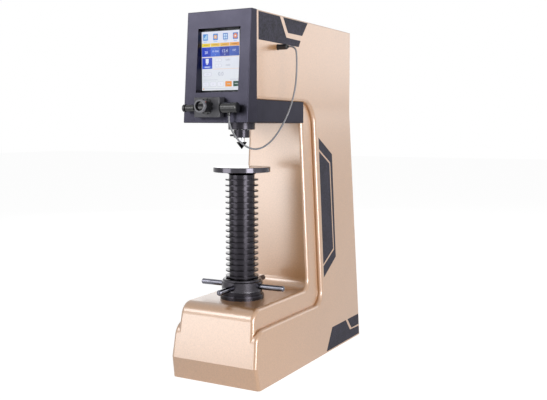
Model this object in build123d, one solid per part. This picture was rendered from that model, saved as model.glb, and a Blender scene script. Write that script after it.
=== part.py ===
from build123d import *
import math
import os

# Bench hardness tester: a hollow C-shaped casting, a touch screen in its head, a motor-driven spindle with an
# indenter, an elevating screw with an anvil that a hub with four rods raises, and a measuring eyepiece.
# Millimetres, +Z up, +X to the operator's right, the operator at -Y. The origin lies on the bench, under the
# middle of the machine's length, eyepiece included. Side-view distances called "back" run from the front
# bottom edge of the base.

# ---- Casting ----
BODY_TOP = 750.0
BODY_LENGTH = 508.3
FOOT_HALF_WIDTH = 104.3
HEAD_HALF_WIDTH = 75.0
FLARE_TOP = 558.0
FLARE_BEND = 13.1
REAR_LEAN = 8.3
PAD_DROP = 1.5
WALL = 9.0
CHIN_HEIGHT = 46.7
CHIN_OUT = 9.1
FRONT_LEAN = 0.165
BASE_TOP = 160.0
BASE_NOSE_ROUND = 28.0
THROAT_BACK = 252.0
THROAT_ROUND = 23.0
HEAD_FRONT_BACK = 43.0
HEAD_HEIGHT = 175.0
SHOULDER = 9.0
SHOULDER_BASE_TOP = 119.0
SHOULDER_NOSE_ROUND = 30.0
SHOULDER_BACK = 300.0
SHOULDER_LOW_ROUND = 30.0
SHOULDER_HIGH_ROUND = 48.0
GROOVE_WIDTH = 3.0
GROOVE_DEPTH = 2.0
SHOULDER_EDGE = 7.0
CORE_EDGE = 8.0
REAR_EDGE = 3.5
BOSS_RADIUS = 56.0
BOSS_HEIGHT = 92.0
PAD_RADIUS = 16.0
PAD_THICKNESS = 6.0
PAD_INSET = 26.0

# ---- Axes and reach ----
EYEPIECE_REACH = 35.0
SPINDLE_BACK = 108.6

# ---- Rear cover ----
COVER_THICKNESS = 2.5
COVER_HALF_WIDTH = 66.0
COVER_BOTTOM = 34.0
COVER_TOP_MARGIN = 18.0
COVER_LAP = 8.0
COVER_FIT = 0.3
VENT_COUNT = 7
VENT_LENGTH = 56.0
VENT_WIDTH = 5.0
VENT_PITCH = 13.0
VENT_RISE = 25.0
SCREW_ROWS = 4
M4_RADIUS = 2.0
M4_HEAD_RADIUS = 3.9
M4_HEAD_HEIGHT = 2.4
M4_LENGTH = 6.0

# ---- Front bezel, screen and lower casing of the head ----
BEZEL_HEIGHT = 221.0
BEZEL_FOOT_BACK = 5.6
BEZEL_TOP_BACK = 24.8
BEZEL_WALL = 3.0
BEZEL_EDGE = 1.5
WINDOW_LEFT = -48.0
WINDOW_RIGHT = 51.0
WINDOW_HEIGHT = 127.0
WINDOW_TOP_MARGIN = 34.0
WINDOW_FRAME = 4.0
GLASS_BACK = 31.5
GLASS_THICKNESS = 2.0
PANEL_GAP = 0.6
PANEL_THICKNESS = 6.0
PANEL_MARGIN = 3.0
CASING_HALF_WIDTH = 72.0
CASING_WALL = 3.0
CASING_EDGE = 3.0

# ---- Inlaid side panels: outlines as (back, height), the top ones measured from the top ----
INLAY_THICKNESS = 1.2
INLAY_FIT = 0.15
INLAY_TOP_LONG = [(49.5, -3.1), (138.0, -3.1), (166.6, -43.5), (231.5, -44.2), (223.0, -58.0), (49.5, -58.0)]
INLAY_TOP_SHORT = [(152.0, -3.1), (265.5, -3.1), (239.1, -33.0), (173.2, -33.0)]
INLAY_MID_STRAP = [
    (316.4, 496.8), (385.7, 457.1), (383.5, 215.5), (314.3, 176.7),
    (314.3, 202.4), (375.3, 233.5), (374.0, 438.4), (316.4, 470.7),
]
INLAY_MID_CORE = [(316.4, 465.5), (369.4, 435.6), (370.6, 236.2), (314.3, 207.4)]
INLAY_LOW_LONG = [(312.4, 4.5), (348.3, 53.6), (426.7, 53.6), (448.9, 25.7), (503.5, 23.3), (503.5, 4.5)]
INLAY_LOW_SHORT = [(436.4, 53.8), (503.5, 53.8), (503.5, 28.2), (458.4, 28.2)]

# ---- Elevating screw, anvil and capstan ----
ANVIL_RADIUS = 60.0
ANVIL_THICKNESS = 10.5
SPECIMEN_GAP = 37.2
ANVIL_COLLAR_RADIUS = 34.5
ANVIL_COLLAR_HEIGHT = 6.0
ANVIL_EDGE = 0.8
ANVIL_STEM_RADIUS = 12.0
ANVIL_STEM_LENGTH = 30.0
SCREW_RIDGE_RADIUS = 34.75
SCREW_CORE_RADIUS = 27.0
SCREW_PITCH = 12.0
RIDGE_WIDTH = 2.8
FIRST_RIDGE_DROP = 26.3
SCREW_DEPTH = 45.0
KEYWAY_WIDTH = 8.0
KEYWAY_DEPTH = 6.5
RUNNING_FIT = 0.06
FLANGE_RADIUS = 46.5
FLANGE_HEIGHT = 9.0
FLANGE_SHOULDER_RADIUS = 43.0
FLANGE_SHOULDER_HEIGHT = 8.0
SLEEVE_RADIUS = 42.0
SLEEVE_DEPTH = 70.0
HUB_RADIUS = 43.5
HUB_HEIGHT = 24.0
HUB_GROOVE = 1.2
HUB_LIFT = 0.4
BEARING_THICKNESS = 4.0
BEARING_INNER = 37.0
BEARING_OUTER = 42.0
ROD_RADIUS = 6.0
ROD_REACH = 100.0
ROD_SOCKET = 6.0
ROD_HEIGHT = 9.0
ROD_DOME = 3.6
ROD_TURN = 2.3

# ---- Spindle, indenter and load train ----
NOSE_RING_RADIUS = 28.0
NOSE_RING_BORE_LIP = 8.0
NOSE_RING_HEIGHT = 13.8
NOSE_SPIGOT = 14.0
SPINDLE_RADIUS = 11.0
SPINDLE_RISE = 41.0
CHUCK_RADIUS = 17.0
CHUCK_LENGTH = 16.4
CHUCK_GAP = 0.3
SHANK_RADIUS = 6.4
SHANK_SHOWN = 8.9
SHANK_SOCKET = 10.0
CONE_RADIUS = 10.6
CONE_RIM = 1.6
CONE_HEIGHT = 14.9
CLAMP_RISE = 4.8
CLAMP_RADIUS = 2.1
CLAMP_REACH = 28.0
BUSH_FLANGE_RADIUS = 24.0
BUSH_FLANGE = 4.0
BUSH_RADIUS = 17.0
CELL_SIZE = 44.0
CELL_HEIGHT = 34.0
CELL_SLOT = 3.0
CROSSHEAD_HEIGHT = 20.0
CROSSHEAD_HALF_WIDTH = 56.0
CROSSHEAD_HALF_DEPTH = 20.0
GUIDE_RADIUS = 6.0
GUIDE_X = 44.0
BALL_SCREW_RADIUS = 7.0
BALL_NUT_RADIUS = 13.0
BALL_NUT_HEIGHT = 24.0
DRIVE_PLATE_DROP = 38.0
DRIVE_PLATE_THICKNESS = 7.0
DRIVE_PLATE_BACK = 72.0
DRIVE_PLATE_END = 250.0
BEARING_RADIUS = 15.0
BIG_PULLEY_RADIUS = 26.0
SMALL_PULLEY_RADIUS = 10.0
PULLEY_HEIGHT = 12.0
PULLEY_LIP = 2.0
PULLEY_LIP_HEIGHT = 1.5
BELT_THICKNESS = 1.6
BELT_GAP = 0.1
MOTOR_BACK = 205.0
MOTOR_SIZE = 56.0
MOTOR_HEIGHT = 62.0
MOTOR_SHAFT_RADIUS = 3.2
MOTOR_PILOT_RADIUS = 19.0

# ---- Measuring eyepiece ----
EYE_BLOCK_LEFT = -38.5
EYE_BLOCK_RIGHT = 20.5
EYE_BLOCK_RISE = 10.7
EYE_BLOCK_HEIGHT = 39.0
EYE_BLOCK_FRONT = -9.4
EYE_X = -9.0
EYE_RISE = 21.3
EYE_BORE = 7.5
BARREL_RADIUS = 11.9
BARREL_FRONT = -28.5
LOCK_RING_RADIUS = 15.8
LOCK_RING_WIDTH = 2.4
LOCK_RING_TEETH = 10
LOCK_RING_NOTCH = 4.4
LOCK_RING_NOTCH_DEPTH = 2.6
OCULAR_RADIUS = 12.7
OCULAR_FRONT = -35.0
OCULAR_SPIGOT = 9.5
OCULAR_BORE = 9.2
LENS_THICKNESS = 2.0
LENS_CROWN = 1.2
LENS_RECESS = 6.0
KNOB_RISE = 18.3
KNOB_BACK = -5.0
KNOB_SHAFT_RADIUS = 4.2
KNOB_RADIUS = 7.6
KNOB_END = -66.5
KNOB_FLANGE = 5.5
KNOB_GROOVE = 2.0
KNOB_GROOVE_RADIUS = 5.0
KNOB_GRIP_RADIUS = 6.7
KNOB_GAP = 0.5
DRUM_RADIUS = 10.2
DRUM_START = 26.0
DRUM_SPLIT = 48.0
DRUM_END = 60.0
GLAND_X = 40.0
GLAND_RADIUS = 3.2
GLAND_DROP = 6.0
LINE_PLATE_SIZE = 16.0
LINE_PLATE_THICKNESS = 1.2
LINE_CHAMBER = 26.0

# ---- Signal cable, plug and socket ----
CABLE_RADIUS = 1.8
PLUG_BACK = 128.6
PLUG_DROP = 66.4
PLUG_RADIUS = 5.5
PLUG_LENGTH = 23.0
BOOT_LENGTH = 3.5
SOCKET_RADIUS = 5.4
SOCKET_NUT_RADIUS = 6.2
SOCKET_NUT = 1.2
SOCKET_DEPTH = 14.0

# ---- Electrical pieces at the rear ----
INLET_X = -28.0
SWITCH_X = 30.0
ELECTRIC_Z = 150.0
INLET_WIDTH = 27.0
INLET_HEIGHT = 20.0
INLET_DEPTH = 24.0
INLET_FLANGE = 8.0
FLANGE_PLATE = 1.6
SWITCH_WIDTH = 13.0
SWITCH_HEIGHT = 19.0
ROCKER_GAP = 0.25
BOARD_WIDTH = 96.0
BOARD_HEIGHT = 150.0
BOARD_THICKNESS = 1.6
BOARD_BOTTOM = 350.0
BOARD_STAND = 6.0
BOARD_SCREEN_CHIP = (-30.0, 2.0, 90.0, 122.0, 10.0)
BOARD_DRIVE_CHIP = (12.0, 38.0, 70.0, 96.0, 5.0)
BOARD_PLUG_ROW = (-36.0, 36.0, 6.0, 16.0, 8.0)
BOARD_CORNER = 6.0
SPACER_RADIUS = 3.5
SUPPLY_WIDTH = 98.0
SUPPLY_DEPTH = 42.0
SUPPLY_HEIGHT = 130.0
SUPPLY_BOTTOM = 190.0

# ---- Heights and places that follow ----
HEAD_FLOOR = BODY_TOP - HEAD_HEIGHT
COVER_TOP = BODY_TOP - COVER_TOP_MARGIN
VENT_BOTTOM = HEAD_FLOOR + VENT_RISE
BEZEL_BOTTOM = BODY_TOP - BEZEL_HEIGHT
WINDOW_TOP = BODY_TOP - WINDOW_TOP_MARGIN
WINDOW_BOTTOM = WINDOW_TOP - WINDOW_HEIGHT
NOSE_RING_BOTTOM = BEZEL_BOTTOM - NOSE_RING_HEIGHT
NOSE_HOLE_RADIUS = NOSE_RING_RADIUS - NOSE_RING_BORE_LIP
CHUCK_TOP = NOSE_RING_BOTTOM - CHUCK_GAP
CHUCK_BOTTOM = CHUCK_TOP - CHUCK_LENGTH
CLAMP_HEIGHT = CHUCK_BOTTOM + CLAMP_RISE
SHANK_BOTTOM = CHUCK_BOTTOM - SHANK_SHOWN
CONE_TIP = SHANK_BOTTOM - CONE_HEIGHT
SPINDLE_TOP = HEAD_FLOOR + SPINDLE_RISE
DRIVE_PLATE_BOTTOM = BODY_TOP - DRIVE_PLATE_DROP
ANVIL_TOP = CONE_TIP - SPECIMEN_GAP
FIRST_RIDGE = ANVIL_TOP - FIRST_RIDGE_DROP
SCREW_BOTTOM = BASE_TOP - SCREW_DEPTH
EYE_BLOCK_BOTTOM = BEZEL_BOTTOM + EYE_BLOCK_RISE
EYE_BLOCK_TOP = EYE_BLOCK_BOTTOM + EYE_BLOCK_HEIGHT
EYE_Z = EYE_BLOCK_BOTTOM + EYE_RISE
KNOB_Z = EYE_BLOCK_BOTTOM + KNOB_RISE
PLUG_Z = BODY_TOP - PLUG_DROP
PLUG_END = HEAD_HALF_WIDTH + PLUG_LENGTH
BOOT_END = PLUG_END + BOOT_LENGTH
FRONT_Y = (EYEPIECE_REACH - BODY_LENGTH) / 2
REAR_TOP_BACK = BODY_LENGTH - REAR_LEAN
SPINDLE_Y = FRONT_Y + SPINDLE_BACK
FLARE = (FOOT_HALF_WIDTH - HEAD_HALF_WIDTH) / FLARE_TOP
BEZEL_LEAN = (BEZEL_TOP_BACK - BEZEL_FOOT_BACK) / (BODY_TOP - BEZEL_BOTTOM)
SIDE = Plane(origin=(0, FRONT_Y, 0), x_dir=(0, 1, 0), z_dir=(1, 0, 0))
FLARE_ROUND = FLARE_BEND / math.tan(math.atan(FLARE) / 2)
HEAD_INNER = HEAD_HALF_WIDTH - WALL


# ---- Shared forms ----
def half_width(z, inset=0.0):
    """Half the body's width at a height, the side moved in by inset."""
    return HEAD_HALF_WIDTH - inset + FLARE * max(0.0, FLARE_TOP - z)


def rear_back(z):
    """How far back the rear face lies at a height."""
    return REAR_TOP_BACK + REAR_LEAN * max(0.0, FLARE_TOP - z) / FLARE_TOP


def bezel_back(z):
    """How far back the leaning face of the bezel lies at a height."""
    return BEZEL_FOOT_BACK + BEZEL_LEAN * (z - BEZEL_BOTTOM)


def width_form(inset=0.0):
    """The body's front outline carried through its whole length, the sides moved in by inset."""
    low, high = -20.0, BODY_TOP + 20.0
    points = [
        (half_width(low, inset), low),
        (half_width(FLARE_TOP, inset), FLARE_TOP),
        (half_width(high, inset), high),
    ]
    mirrored = [(-x, z) for x, z in reversed(points)]
    radii = [0, FLARE_ROUND, 0, 0, FLARE_ROUND, 0]
    face = make_face(FilletPolyline(*points, *mirrored, radius=radii, close=True))
    return extrude(Plane.XZ * face, BODY_LENGTH, both=True)


def side_face(points, radii=None):
    """A closed face in side view, from (back, height) points."""
    radii = radii or [0] * len(points)
    return SIDE * make_face(FilletPolyline(*points, radius=radii, close=True))


def side_prism(face, reach=2 * FOOT_HALF_WIDTH):
    return extrude(face, reach, both=True)


def block(x0, x1, back0, back1, z0, z1):
    """A box between two corners, its depth given as distances back."""
    size = Box(x1 - x0, back1 - back0, z1 - z0)
    return Pos((x0 + x1) / 2, FRONT_Y + (back0 + back1) / 2, (z0 + z1) / 2) * size


def post(radius, z0, z1, x=0.0, back=SPINDLE_BACK):
    """An upright cylinder, on the spindle's axis unless told otherwise."""
    return Pos(x, FRONT_Y + back, (z0 + z1) / 2) * Cylinder(radius, z1 - z0)


def ring(outer, inner, z0, z1, x=0.0, back=SPINDLE_BACK):
    return post(outer, z0, z1, x, back) - post(inner, z0, z1, x, back)


def lathe(points):
    """A turned solid about Z from (radius, height) points."""
    return revolve(Plane.XZ * make_face(Polyline(*points, close=True)), Axis.Z)


def along_x(solid, x, back, z, flip=False):
    """Lays a solid turned about Z along X, its start at x."""
    return Pos(x, FRONT_Y + back, z) * Rot(0, -90 if flip else 90, 0) * solid


def along_y(solid, x, back, z, flip=False):
    """Lays a solid turned about Z along Y, its start at back."""
    return Pos(x, FRONT_Y + back, z) * Rot(90 if flip else -90, 0, 0) * solid


def edges_on_side(solid, inset, wanted):
    """The outline edges where a prism meets the flared sides."""
    chosen = []
    for edge in solid.edges():
        middle = edge.position_at(0.5)
        across = abs(abs(middle.X) - half_width(middle.Z, inset))
        run = edge.tangent_at(0.5)
        blend_line = abs(run.Y) > 0.99 and abs(middle.Z - FLARE_TOP) < FLARE_BEND + 2
        if across < 0.5 and not blend_line and wanted(middle.Y - FRONT_Y, middle.Z):
            chosen.append(edge)
    return chosen


# ---- Casting ----
def core_face():
    lean_top = FRONT_LEAN * (BASE_TOP - CHIN_HEIGHT) - CHIN_OUT
    points = [
        (0, PAD_DROP), (-CHIN_OUT, CHIN_HEIGHT), (lean_top, BASE_TOP), (THROAT_BACK, BASE_TOP),
        (THROAT_BACK, HEAD_FLOOR), (HEAD_FRONT_BACK, HEAD_FLOOR), (HEAD_FRONT_BACK, BODY_TOP),
        (REAR_TOP_BACK, BODY_TOP), (REAR_TOP_BACK, FLARE_TOP), (rear_back(PAD_DROP), PAD_DROP),
    ]
    return side_face(points, [0, 0, BASE_NOSE_ROUND, THROAT_ROUND, 0, 0, 0, 0, 0, 0])


def shoulder_face():
    lean = FRONT_LEAN * (SHOULDER_BASE_TOP - CHIN_HEIGHT) - CHIN_OUT
    points = [
        (0, PAD_DROP), (-CHIN_OUT, CHIN_HEIGHT), (lean, SHOULDER_BASE_TOP),
        (SHOULDER_BACK, SHOULDER_BASE_TOP), (SHOULDER_BACK, HEAD_FLOOR), (HEAD_FRONT_BACK, HEAD_FLOOR),
        (HEAD_FRONT_BACK, BODY_TOP), (REAR_TOP_BACK, BODY_TOP), (REAR_TOP_BACK, FLARE_TOP),
        (rear_back(PAD_DROP), PAD_DROP),
    ]
    radii = [0, 0, SHOULDER_NOSE_ROUND, SHOULDER_LOW_ROUND, SHOULDER_HIGH_ROUND, 0, 0, 0, 0, 0]
    return side_face(points, radii)


def core_body():
    core = side_prism(core_face()) & width_form(SHOULDER)
    soft = edges_on_side(core, SHOULDER, lambda back, z: PAD_DROP + 1 < z < HEAD_FLOOR and back < 260)
    core = fillet(soft, CORE_EDGE)
    groove = side_prism(offset(shoulder_face(), GROOVE_WIDTH)) - width_form(SHOULDER + GROOVE_DEPTH)
    return core - groove


def shoulder_body():
    body = side_prism(shoulder_face()) & width_form()
    step = edges_on_side(
        body, 0, lambda back, z: z > PAD_DROP + 1 and back < SHOULDER_BACK + 5 and z < HEAD_FLOOR + 1
    )
    body = fillet(step, SHOULDER_EDGE)
    rear = edges_on_side(
        body, 0, lambda back, z: z > PAD_DROP + 1 and (back > REAR_TOP_BACK - 0.5 or z > BODY_TOP - 0.5)
    )
    return fillet(rear, REAR_EDGE)


def inlay(points, inset, grow):
    """A thin plate that follows the flared side of the casting, or its pocket when it is grown."""
    outline = offset(side_face(points), grow, kind=Kind.INTERSECTION) if grow else side_face(points)
    return (side_prism(outline) & width_form(inset)) - width_form(INLAY_THICKNESS)


def inlay_shapes(inset=0.0, grow=0.0):
    from_top = (INLAY_TOP_LONG, INLAY_TOP_SHORT)
    tops = [[(back, BODY_TOP + drop) for back, drop in points] for points in from_top]
    outlines = [*tops, INLAY_MID_STRAP, INLAY_MID_CORE, INLAY_LOW_LONG, INLAY_LOW_SHORT]
    return [inlay(points, inset, grow) for points in outlines]


def inlays(side):
    """The thin textured plates of one side, as separate solids."""
    wide = 2 * FOOT_HALF_WIDTH
    half = Pos(side * wide / 2, 0, 0) * block(-wide / 2, wide / 2, 0, BODY_LENGTH, 0, BODY_TOP)
    return Compound([piece for shape in inlay_shapes() for piece in (shape & half).solids()])


def pad_spots():
    across = half_width(PAD_DROP) - PAD_INSET
    return [(side * across, back) for side in (-1, 1) for back in (PAD_INSET, BODY_LENGTH - PAD_INSET)]


def housing():
    body = core_body() + shoulder_body()
    inner = side_prism(offset(core_face(), -WALL)) & width_form(SHOULDER + WALL)
    inner += side_prism(offset(shoulder_face(), -WALL)) & width_form(WALL)
    body -= inner
    body += post(BOSS_RADIUS, BASE_TOP - BOSS_HEIGHT, BASE_TOP - WALL / 2)
    body -= post(SLEEVE_RADIUS + RUNNING_FIT, BASE_TOP - BOSS_HEIGHT - 1, BASE_TOP + 1)
    under = half_width(PAD_DROP) - PAD_INSET - PAD_RADIUS - 3
    body -= block(-under, under, 2 * PAD_INSET, BODY_LENGTH - 2 * PAD_INSET, -1, WALL + PAD_DROP + 1)
    for x, back in pad_spots():
        body -= post(PAD_RADIUS, -1, PAD_THICKNESS, x, back)
    lap = COVER_HALF_WIDTH - COVER_LAP
    body -= block(
        -lap, lap, REAR_TOP_BACK - WALL - 2, BODY_LENGTH + 1, COVER_BOTTOM + COVER_LAP, COVER_TOP - COVER_LAP
    )
    body -= cover_form(COVER_FIT)
    for spot in cover_screw_spots():
        body -= cover_screw(spot)
    screen_door = (WINDOW_LEFT - WINDOW_FRAME, WINDOW_RIGHT + WINDOW_FRAME)
    body -= block(*screen_door, HEAD_FRONT_BACK - 1, HEAD_FRONT_BACK + WALL + 1, WINDOW_BOTTOM, WINDOW_TOP)
    body -= post(BUSH_RADIUS, HEAD_FLOOR - 1, HEAD_FLOOR + WALL + 1)
    wall_hole = Cylinder(SOCKET_RADIUS, 2 * WALL + 4)
    body -= Pos(HEAD_HALF_WIDTH - WALL / 2, FRONT_Y + PLUG_BACK, PLUG_Z) * Rot(0, 90, 0) * wall_hole
    for pocket in inlay_shapes(-1.0, INLAY_FIT):
        body -= pocket
    return body


def rubber_pads():
    return Compound([post(PAD_RADIUS, 0, PAD_THICKNESS, x, back) for x, back in pad_spots()])


# ---- Rear cover and what it carries ----
def cover_form(fit=0.0):
    """The cover's plate, which follows the lean of the rear face."""
    low, high = COVER_BOTTOM - fit, COVER_TOP + fit
    outer = [(rear_back(low) + fit, low), (REAR_TOP_BACK + fit, FLARE_TOP), (REAR_TOP_BACK + fit, high)]
    inner = [(back - fit - COVER_THICKNESS, z) for back, z in reversed(outer)]
    return side_prism(side_face(outer + inner), COVER_HALF_WIDTH + fit)


def cover_screw_spots():
    across = COVER_HALF_WIDTH - COVER_LAP / 2
    low, high = COVER_BOTTOM + COVER_LAP, COVER_TOP - COVER_LAP
    step = (high - low) / (SCREW_ROWS - 1)
    return [(side * across, low + row * step) for side in (-1, 1) for row in range(SCREW_ROWS)]


def cover_screw(spot):
    """A countersunk screw, its head flush with the cover."""
    x, z = spot
    profile = [
        (0, 0), (M4_HEAD_RADIUS - 0.6, 0), (M4_RADIUS, M4_HEAD_HEIGHT - 0.6), (M4_RADIUS, M4_LENGTH),
        (0, M4_LENGTH),
    ]
    return along_y(lathe(profile), x, rear_back(z) - 0.1, z, flip=True)


def rear_cover_screws():
    return Compound([cover_screw(spot) for spot in cover_screw_spots()])


def rear_cover():
    cover = cover_form()
    for spot in cover_screw_spots():
        cover -= cover_screw(spot)
        cover -= Pos(0, 2, 0) * cover_screw(spot)
    for row in range(VENT_COUNT):
        z = VENT_BOTTOM + row * VENT_PITCH
        cover -= block(
            -VENT_LENGTH / 2, VENT_LENGTH / 2, REAR_TOP_BACK - 5, BODY_LENGTH + 1, z, z + VENT_WIDTH
        )
    cover -= inlet_hole()
    cover -= switch_hole()
    return cover


def electric_back():
    """The plane on which the flanges of the inlet and the switch seat."""
    return rear_back(ELECTRIC_Z - SWITCH_HEIGHT / 2 - INLET_FLANGE)


def inlet_hole():
    return block(
        INLET_X - INLET_WIDTH / 2, INLET_X + INLET_WIDTH / 2, REAR_TOP_BACK - 5, BODY_LENGTH + 1,
        ELECTRIC_Z - INLET_HEIGHT / 2, ELECTRIC_Z + INLET_HEIGHT / 2,
    )


def switch_hole():
    return block(
        SWITCH_X - SWITCH_WIDTH / 2, SWITCH_X + SWITCH_WIDTH / 2, REAR_TOP_BACK - 5, BODY_LENGTH + 1,
        ELECTRIC_Z - SWITCH_HEIGHT / 2, ELECTRIC_Z + SWITCH_HEIGHT / 2,
    )


def mains_inlet():
    seat = electric_back()
    wide, high = INLET_WIDTH / 2 - COVER_FIT, INLET_HEIGHT / 2 - COVER_FIT
    low, top = ELECTRIC_Z - high, ELECTRIC_Z + high
    body = block(INLET_X - wide, INLET_X + wide, seat - INLET_DEPTH, seat, low, top)
    body += block(
        INLET_X - wide - INLET_FLANGE, INLET_X + wide + INLET_FLANGE, seat, seat + FLANGE_PLATE,
        ELECTRIC_Z - high - 2, ELECTRIC_Z + high + 2,
    )
    return body - block(
        INLET_X - wide + 1.5, INLET_X + wide - 1.5, seat - INLET_DEPTH + 5, seat + 2,
        ELECTRIC_Z - high + 1.5, ELECTRIC_Z + high - 1.5,
    )


def inlet_pins():
    root = electric_back() - INLET_DEPTH + 5
    places = [(-7.0, -1.5), (0.0, 2.5), (7.0, -1.5)]
    return Compound([
        block(INLET_X + dx - 1, INLET_X + dx + 1, root, root + 14, ELECTRIC_Z + dz - 2, ELECTRIC_Z + dz + 2)
        for dx, dz in places
    ])


def rocker_pivot_back():
    return electric_back() + FLANGE_PLATE - 3.0


def power_switch():
    seat = electric_back()
    wide, high = SWITCH_WIDTH / 2 - COVER_FIT, SWITCH_HEIGHT / 2 - COVER_FIT
    body = block(SWITCH_X - wide, SWITCH_X + wide, seat - 20, seat, ELECTRIC_Z - high, ELECTRIC_Z + high)
    body += block(
        SWITCH_X - wide - 1.5, SWITCH_X + wide + 1.5, seat, seat + FLANGE_PLATE,
        ELECTRIC_Z - high - 1.5, ELECTRIC_Z + high + 1.5,
    )
    body -= block(
        SWITCH_X - wide + 1.2, SWITCH_X + wide - 1.2, seat - 12, seat + 3, ELECTRIC_Z - high + 1.2,
        ELECTRIC_Z + high - 1.2,
    )
    pin = Cylinder(1.2 + RUNNING_FIT, 2 * wide - 1.2)
    return body - Pos(SWITCH_X, FRONT_Y + rocker_pivot_back(), ELECTRIC_Z) * Rot(0, 90, 0) * pin


def power_rocker():
    """A rocker with a shallow V face, tipped to the off side."""
    half = SWITCH_WIDTH / 2 - COVER_FIT - 1.2 - ROCKER_GAP
    outline = [(-4.0, -4.5), (-4.0, 4.5), (1.6, 7.4), (0.4, 0.0), (1.6, -7.4)]
    key = extrude(Plane.YZ * make_face(Polyline(*outline, close=True)), half, both=True)
    key += Rot(0, 90, 0) * Cylinder(1.2, 2 * half + 1.2)
    return Pos(SWITCH_X, FRONT_Y + rocker_pivot_back(), ELECTRIC_Z) * Rot(-10, 0, 0) * key


# ---- Head: bezel, screen and lower casing ----
def front_bezel():
    outer_outline = [
        (BEZEL_FOOT_BACK, BEZEL_BOTTOM), (BEZEL_TOP_BACK, BODY_TOP), (HEAD_FRONT_BACK, BODY_TOP),
        (HEAD_FRONT_BACK, BEZEL_BOTTOM),
    ]
    low, high = BEZEL_BOTTOM + BEZEL_WALL, BODY_TOP - BEZEL_WALL
    inner_outline = [
        (bezel_back(low) + BEZEL_WALL, low), (bezel_back(high) + BEZEL_WALL, high),
        (HEAD_FRONT_BACK + 1, high), (HEAD_FRONT_BACK + 1, low),
    ]
    solid = side_prism(side_face(outer_outline), HEAD_HALF_WIDTH)
    front = [edge for edge in solid.edges() if edge.position_at(0.5).Y < FRONT_Y + HEAD_FRONT_BACK - 1]
    solid = fillet(front, BEZEL_EDGE)
    shell = solid - side_prism(side_face(inner_outline), HEAD_HALF_WIDTH - BEZEL_WALL)
    frame = block(
        WINDOW_LEFT - WINDOW_FRAME, WINDOW_RIGHT + WINDOW_FRAME, 0, GLASS_BACK,
        WINDOW_BOTTOM - WINDOW_FRAME, WINDOW_TOP + WINDOW_FRAME,
    )
    shell += frame & solid
    return shell - block(WINDOW_LEFT, WINDOW_RIGHT, 0, HEAD_FRONT_BACK, WINDOW_BOTTOM, WINDOW_TOP)


def screen_glass():
    return block(
        WINDOW_LEFT - WINDOW_FRAME, WINDOW_RIGHT + WINDOW_FRAME, GLASS_BACK, GLASS_BACK + GLASS_THICKNESS,
        WINDOW_BOTTOM - WINDOW_FRAME, WINDOW_TOP + WINDOW_FRAME,
    )


def screen_panel():
    back = GLASS_BACK + GLASS_THICKNESS + PANEL_GAP
    return block(
        WINDOW_LEFT - PANEL_MARGIN, WINDOW_RIGHT + PANEL_MARGIN, back, back + PANEL_THICKNESS,
        WINDOW_BOTTOM - PANEL_MARGIN, WINDOW_TOP + PANEL_MARGIN,
    )


def head_casing():
    """The folded tray that closes the head from below, open at its top."""
    outer = block(
        -CASING_HALF_WIDTH, CASING_HALF_WIDTH, HEAD_FRONT_BACK, THROAT_BACK, BEZEL_BOTTOM, HEAD_FLOOR
    )
    under = [edge for edge in outer.edges() if edge.position_at(0.5).Z < BEZEL_BOTTOM + 1]
    along = [edge for edge in under if abs(edge.position_at(0.5).X) > 1]
    outer = fillet(along, CASING_EDGE)
    outer -= block(
        CASING_WALL - CASING_HALF_WIDTH, CASING_HALF_WIDTH - CASING_WALL, HEAD_FRONT_BACK + CASING_WALL,
        THROAT_BACK - CASING_WALL, BEZEL_BOTTOM + CASING_WALL, HEAD_FLOOR + 1,
    )
    return outer - post(NOSE_HOLE_RADIUS, BEZEL_BOTTOM - 1, BEZEL_BOTTOM + CASING_WALL + 1)


# ---- Elevating screw, anvil and capstan ----
def elevating_screw():
    """A core with square ridges, a socket for the anvil's stem and a keyway down its back."""
    neck = ANVIL_TOP - ANVIL_THICKNESS - ANVIL_COLLAR_HEIGHT
    ridges = int((FIRST_RIDGE - SCREW_BOTTOM) / SCREW_PITCH) + 1
    outline = [(0, SCREW_BOTTOM), (SCREW_CORE_RADIUS, SCREW_BOTTOM)]
    for turn in reversed(range(ridges)):
        middle = FIRST_RIDGE - turn * SCREW_PITCH
        low, high = middle - RIDGE_WIDTH / 2, middle + RIDGE_WIDTH / 2
        outline += [(SCREW_CORE_RADIUS, low), (SCREW_RIDGE_RADIUS, low)]
        outline += [(SCREW_RIDGE_RADIUS, high), (SCREW_CORE_RADIUS, high)]
    socket = ANVIL_STEM_RADIUS + RUNNING_FIT
    depth = neck - ANVIL_STEM_LENGTH - 1
    outline += [(SCREW_CORE_RADIUS, neck), (socket, neck), (socket, depth), (0, depth)]
    screw = Pos(0, SPINDLE_Y, 0) * lathe(outline)
    keyway = block(
        -KEYWAY_WIDTH / 2, KEYWAY_WIDTH / 2, SPINDLE_BACK + SCREW_RIDGE_RADIUS - KEYWAY_DEPTH,
        SPINDLE_BACK + SCREW_RIDGE_RADIUS + 1, SCREW_BOTTOM - 1, FIRST_RIDGE + SCREW_PITCH / 2,
    )
    return screw - keyway


def anvil():
    under = ANVIL_TOP - ANVIL_THICKNESS
    neck = under - ANVIL_COLLAR_HEIGHT
    outline = [
        (0, ANVIL_TOP), (ANVIL_RADIUS - ANVIL_EDGE, ANVIL_TOP), (ANVIL_RADIUS, ANVIL_TOP - ANVIL_EDGE),
        (ANVIL_RADIUS, under + ANVIL_EDGE), (ANVIL_RADIUS - ANVIL_EDGE, under), (ANVIL_COLLAR_RADIUS, under),
        (SCREW_CORE_RADIUS, neck), (ANVIL_STEM_RADIUS, neck), (ANVIL_STEM_RADIUS, neck - ANVIL_STEM_LENGTH),
        (0, neck - ANVIL_STEM_LENGTH),
    ]
    return Pos(0, SPINDLE_Y, 0) * lathe(outline)


def flange_top():
    return BASE_TOP + FLANGE_HEIGHT + FLANGE_SHOULDER_HEIGHT


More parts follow.
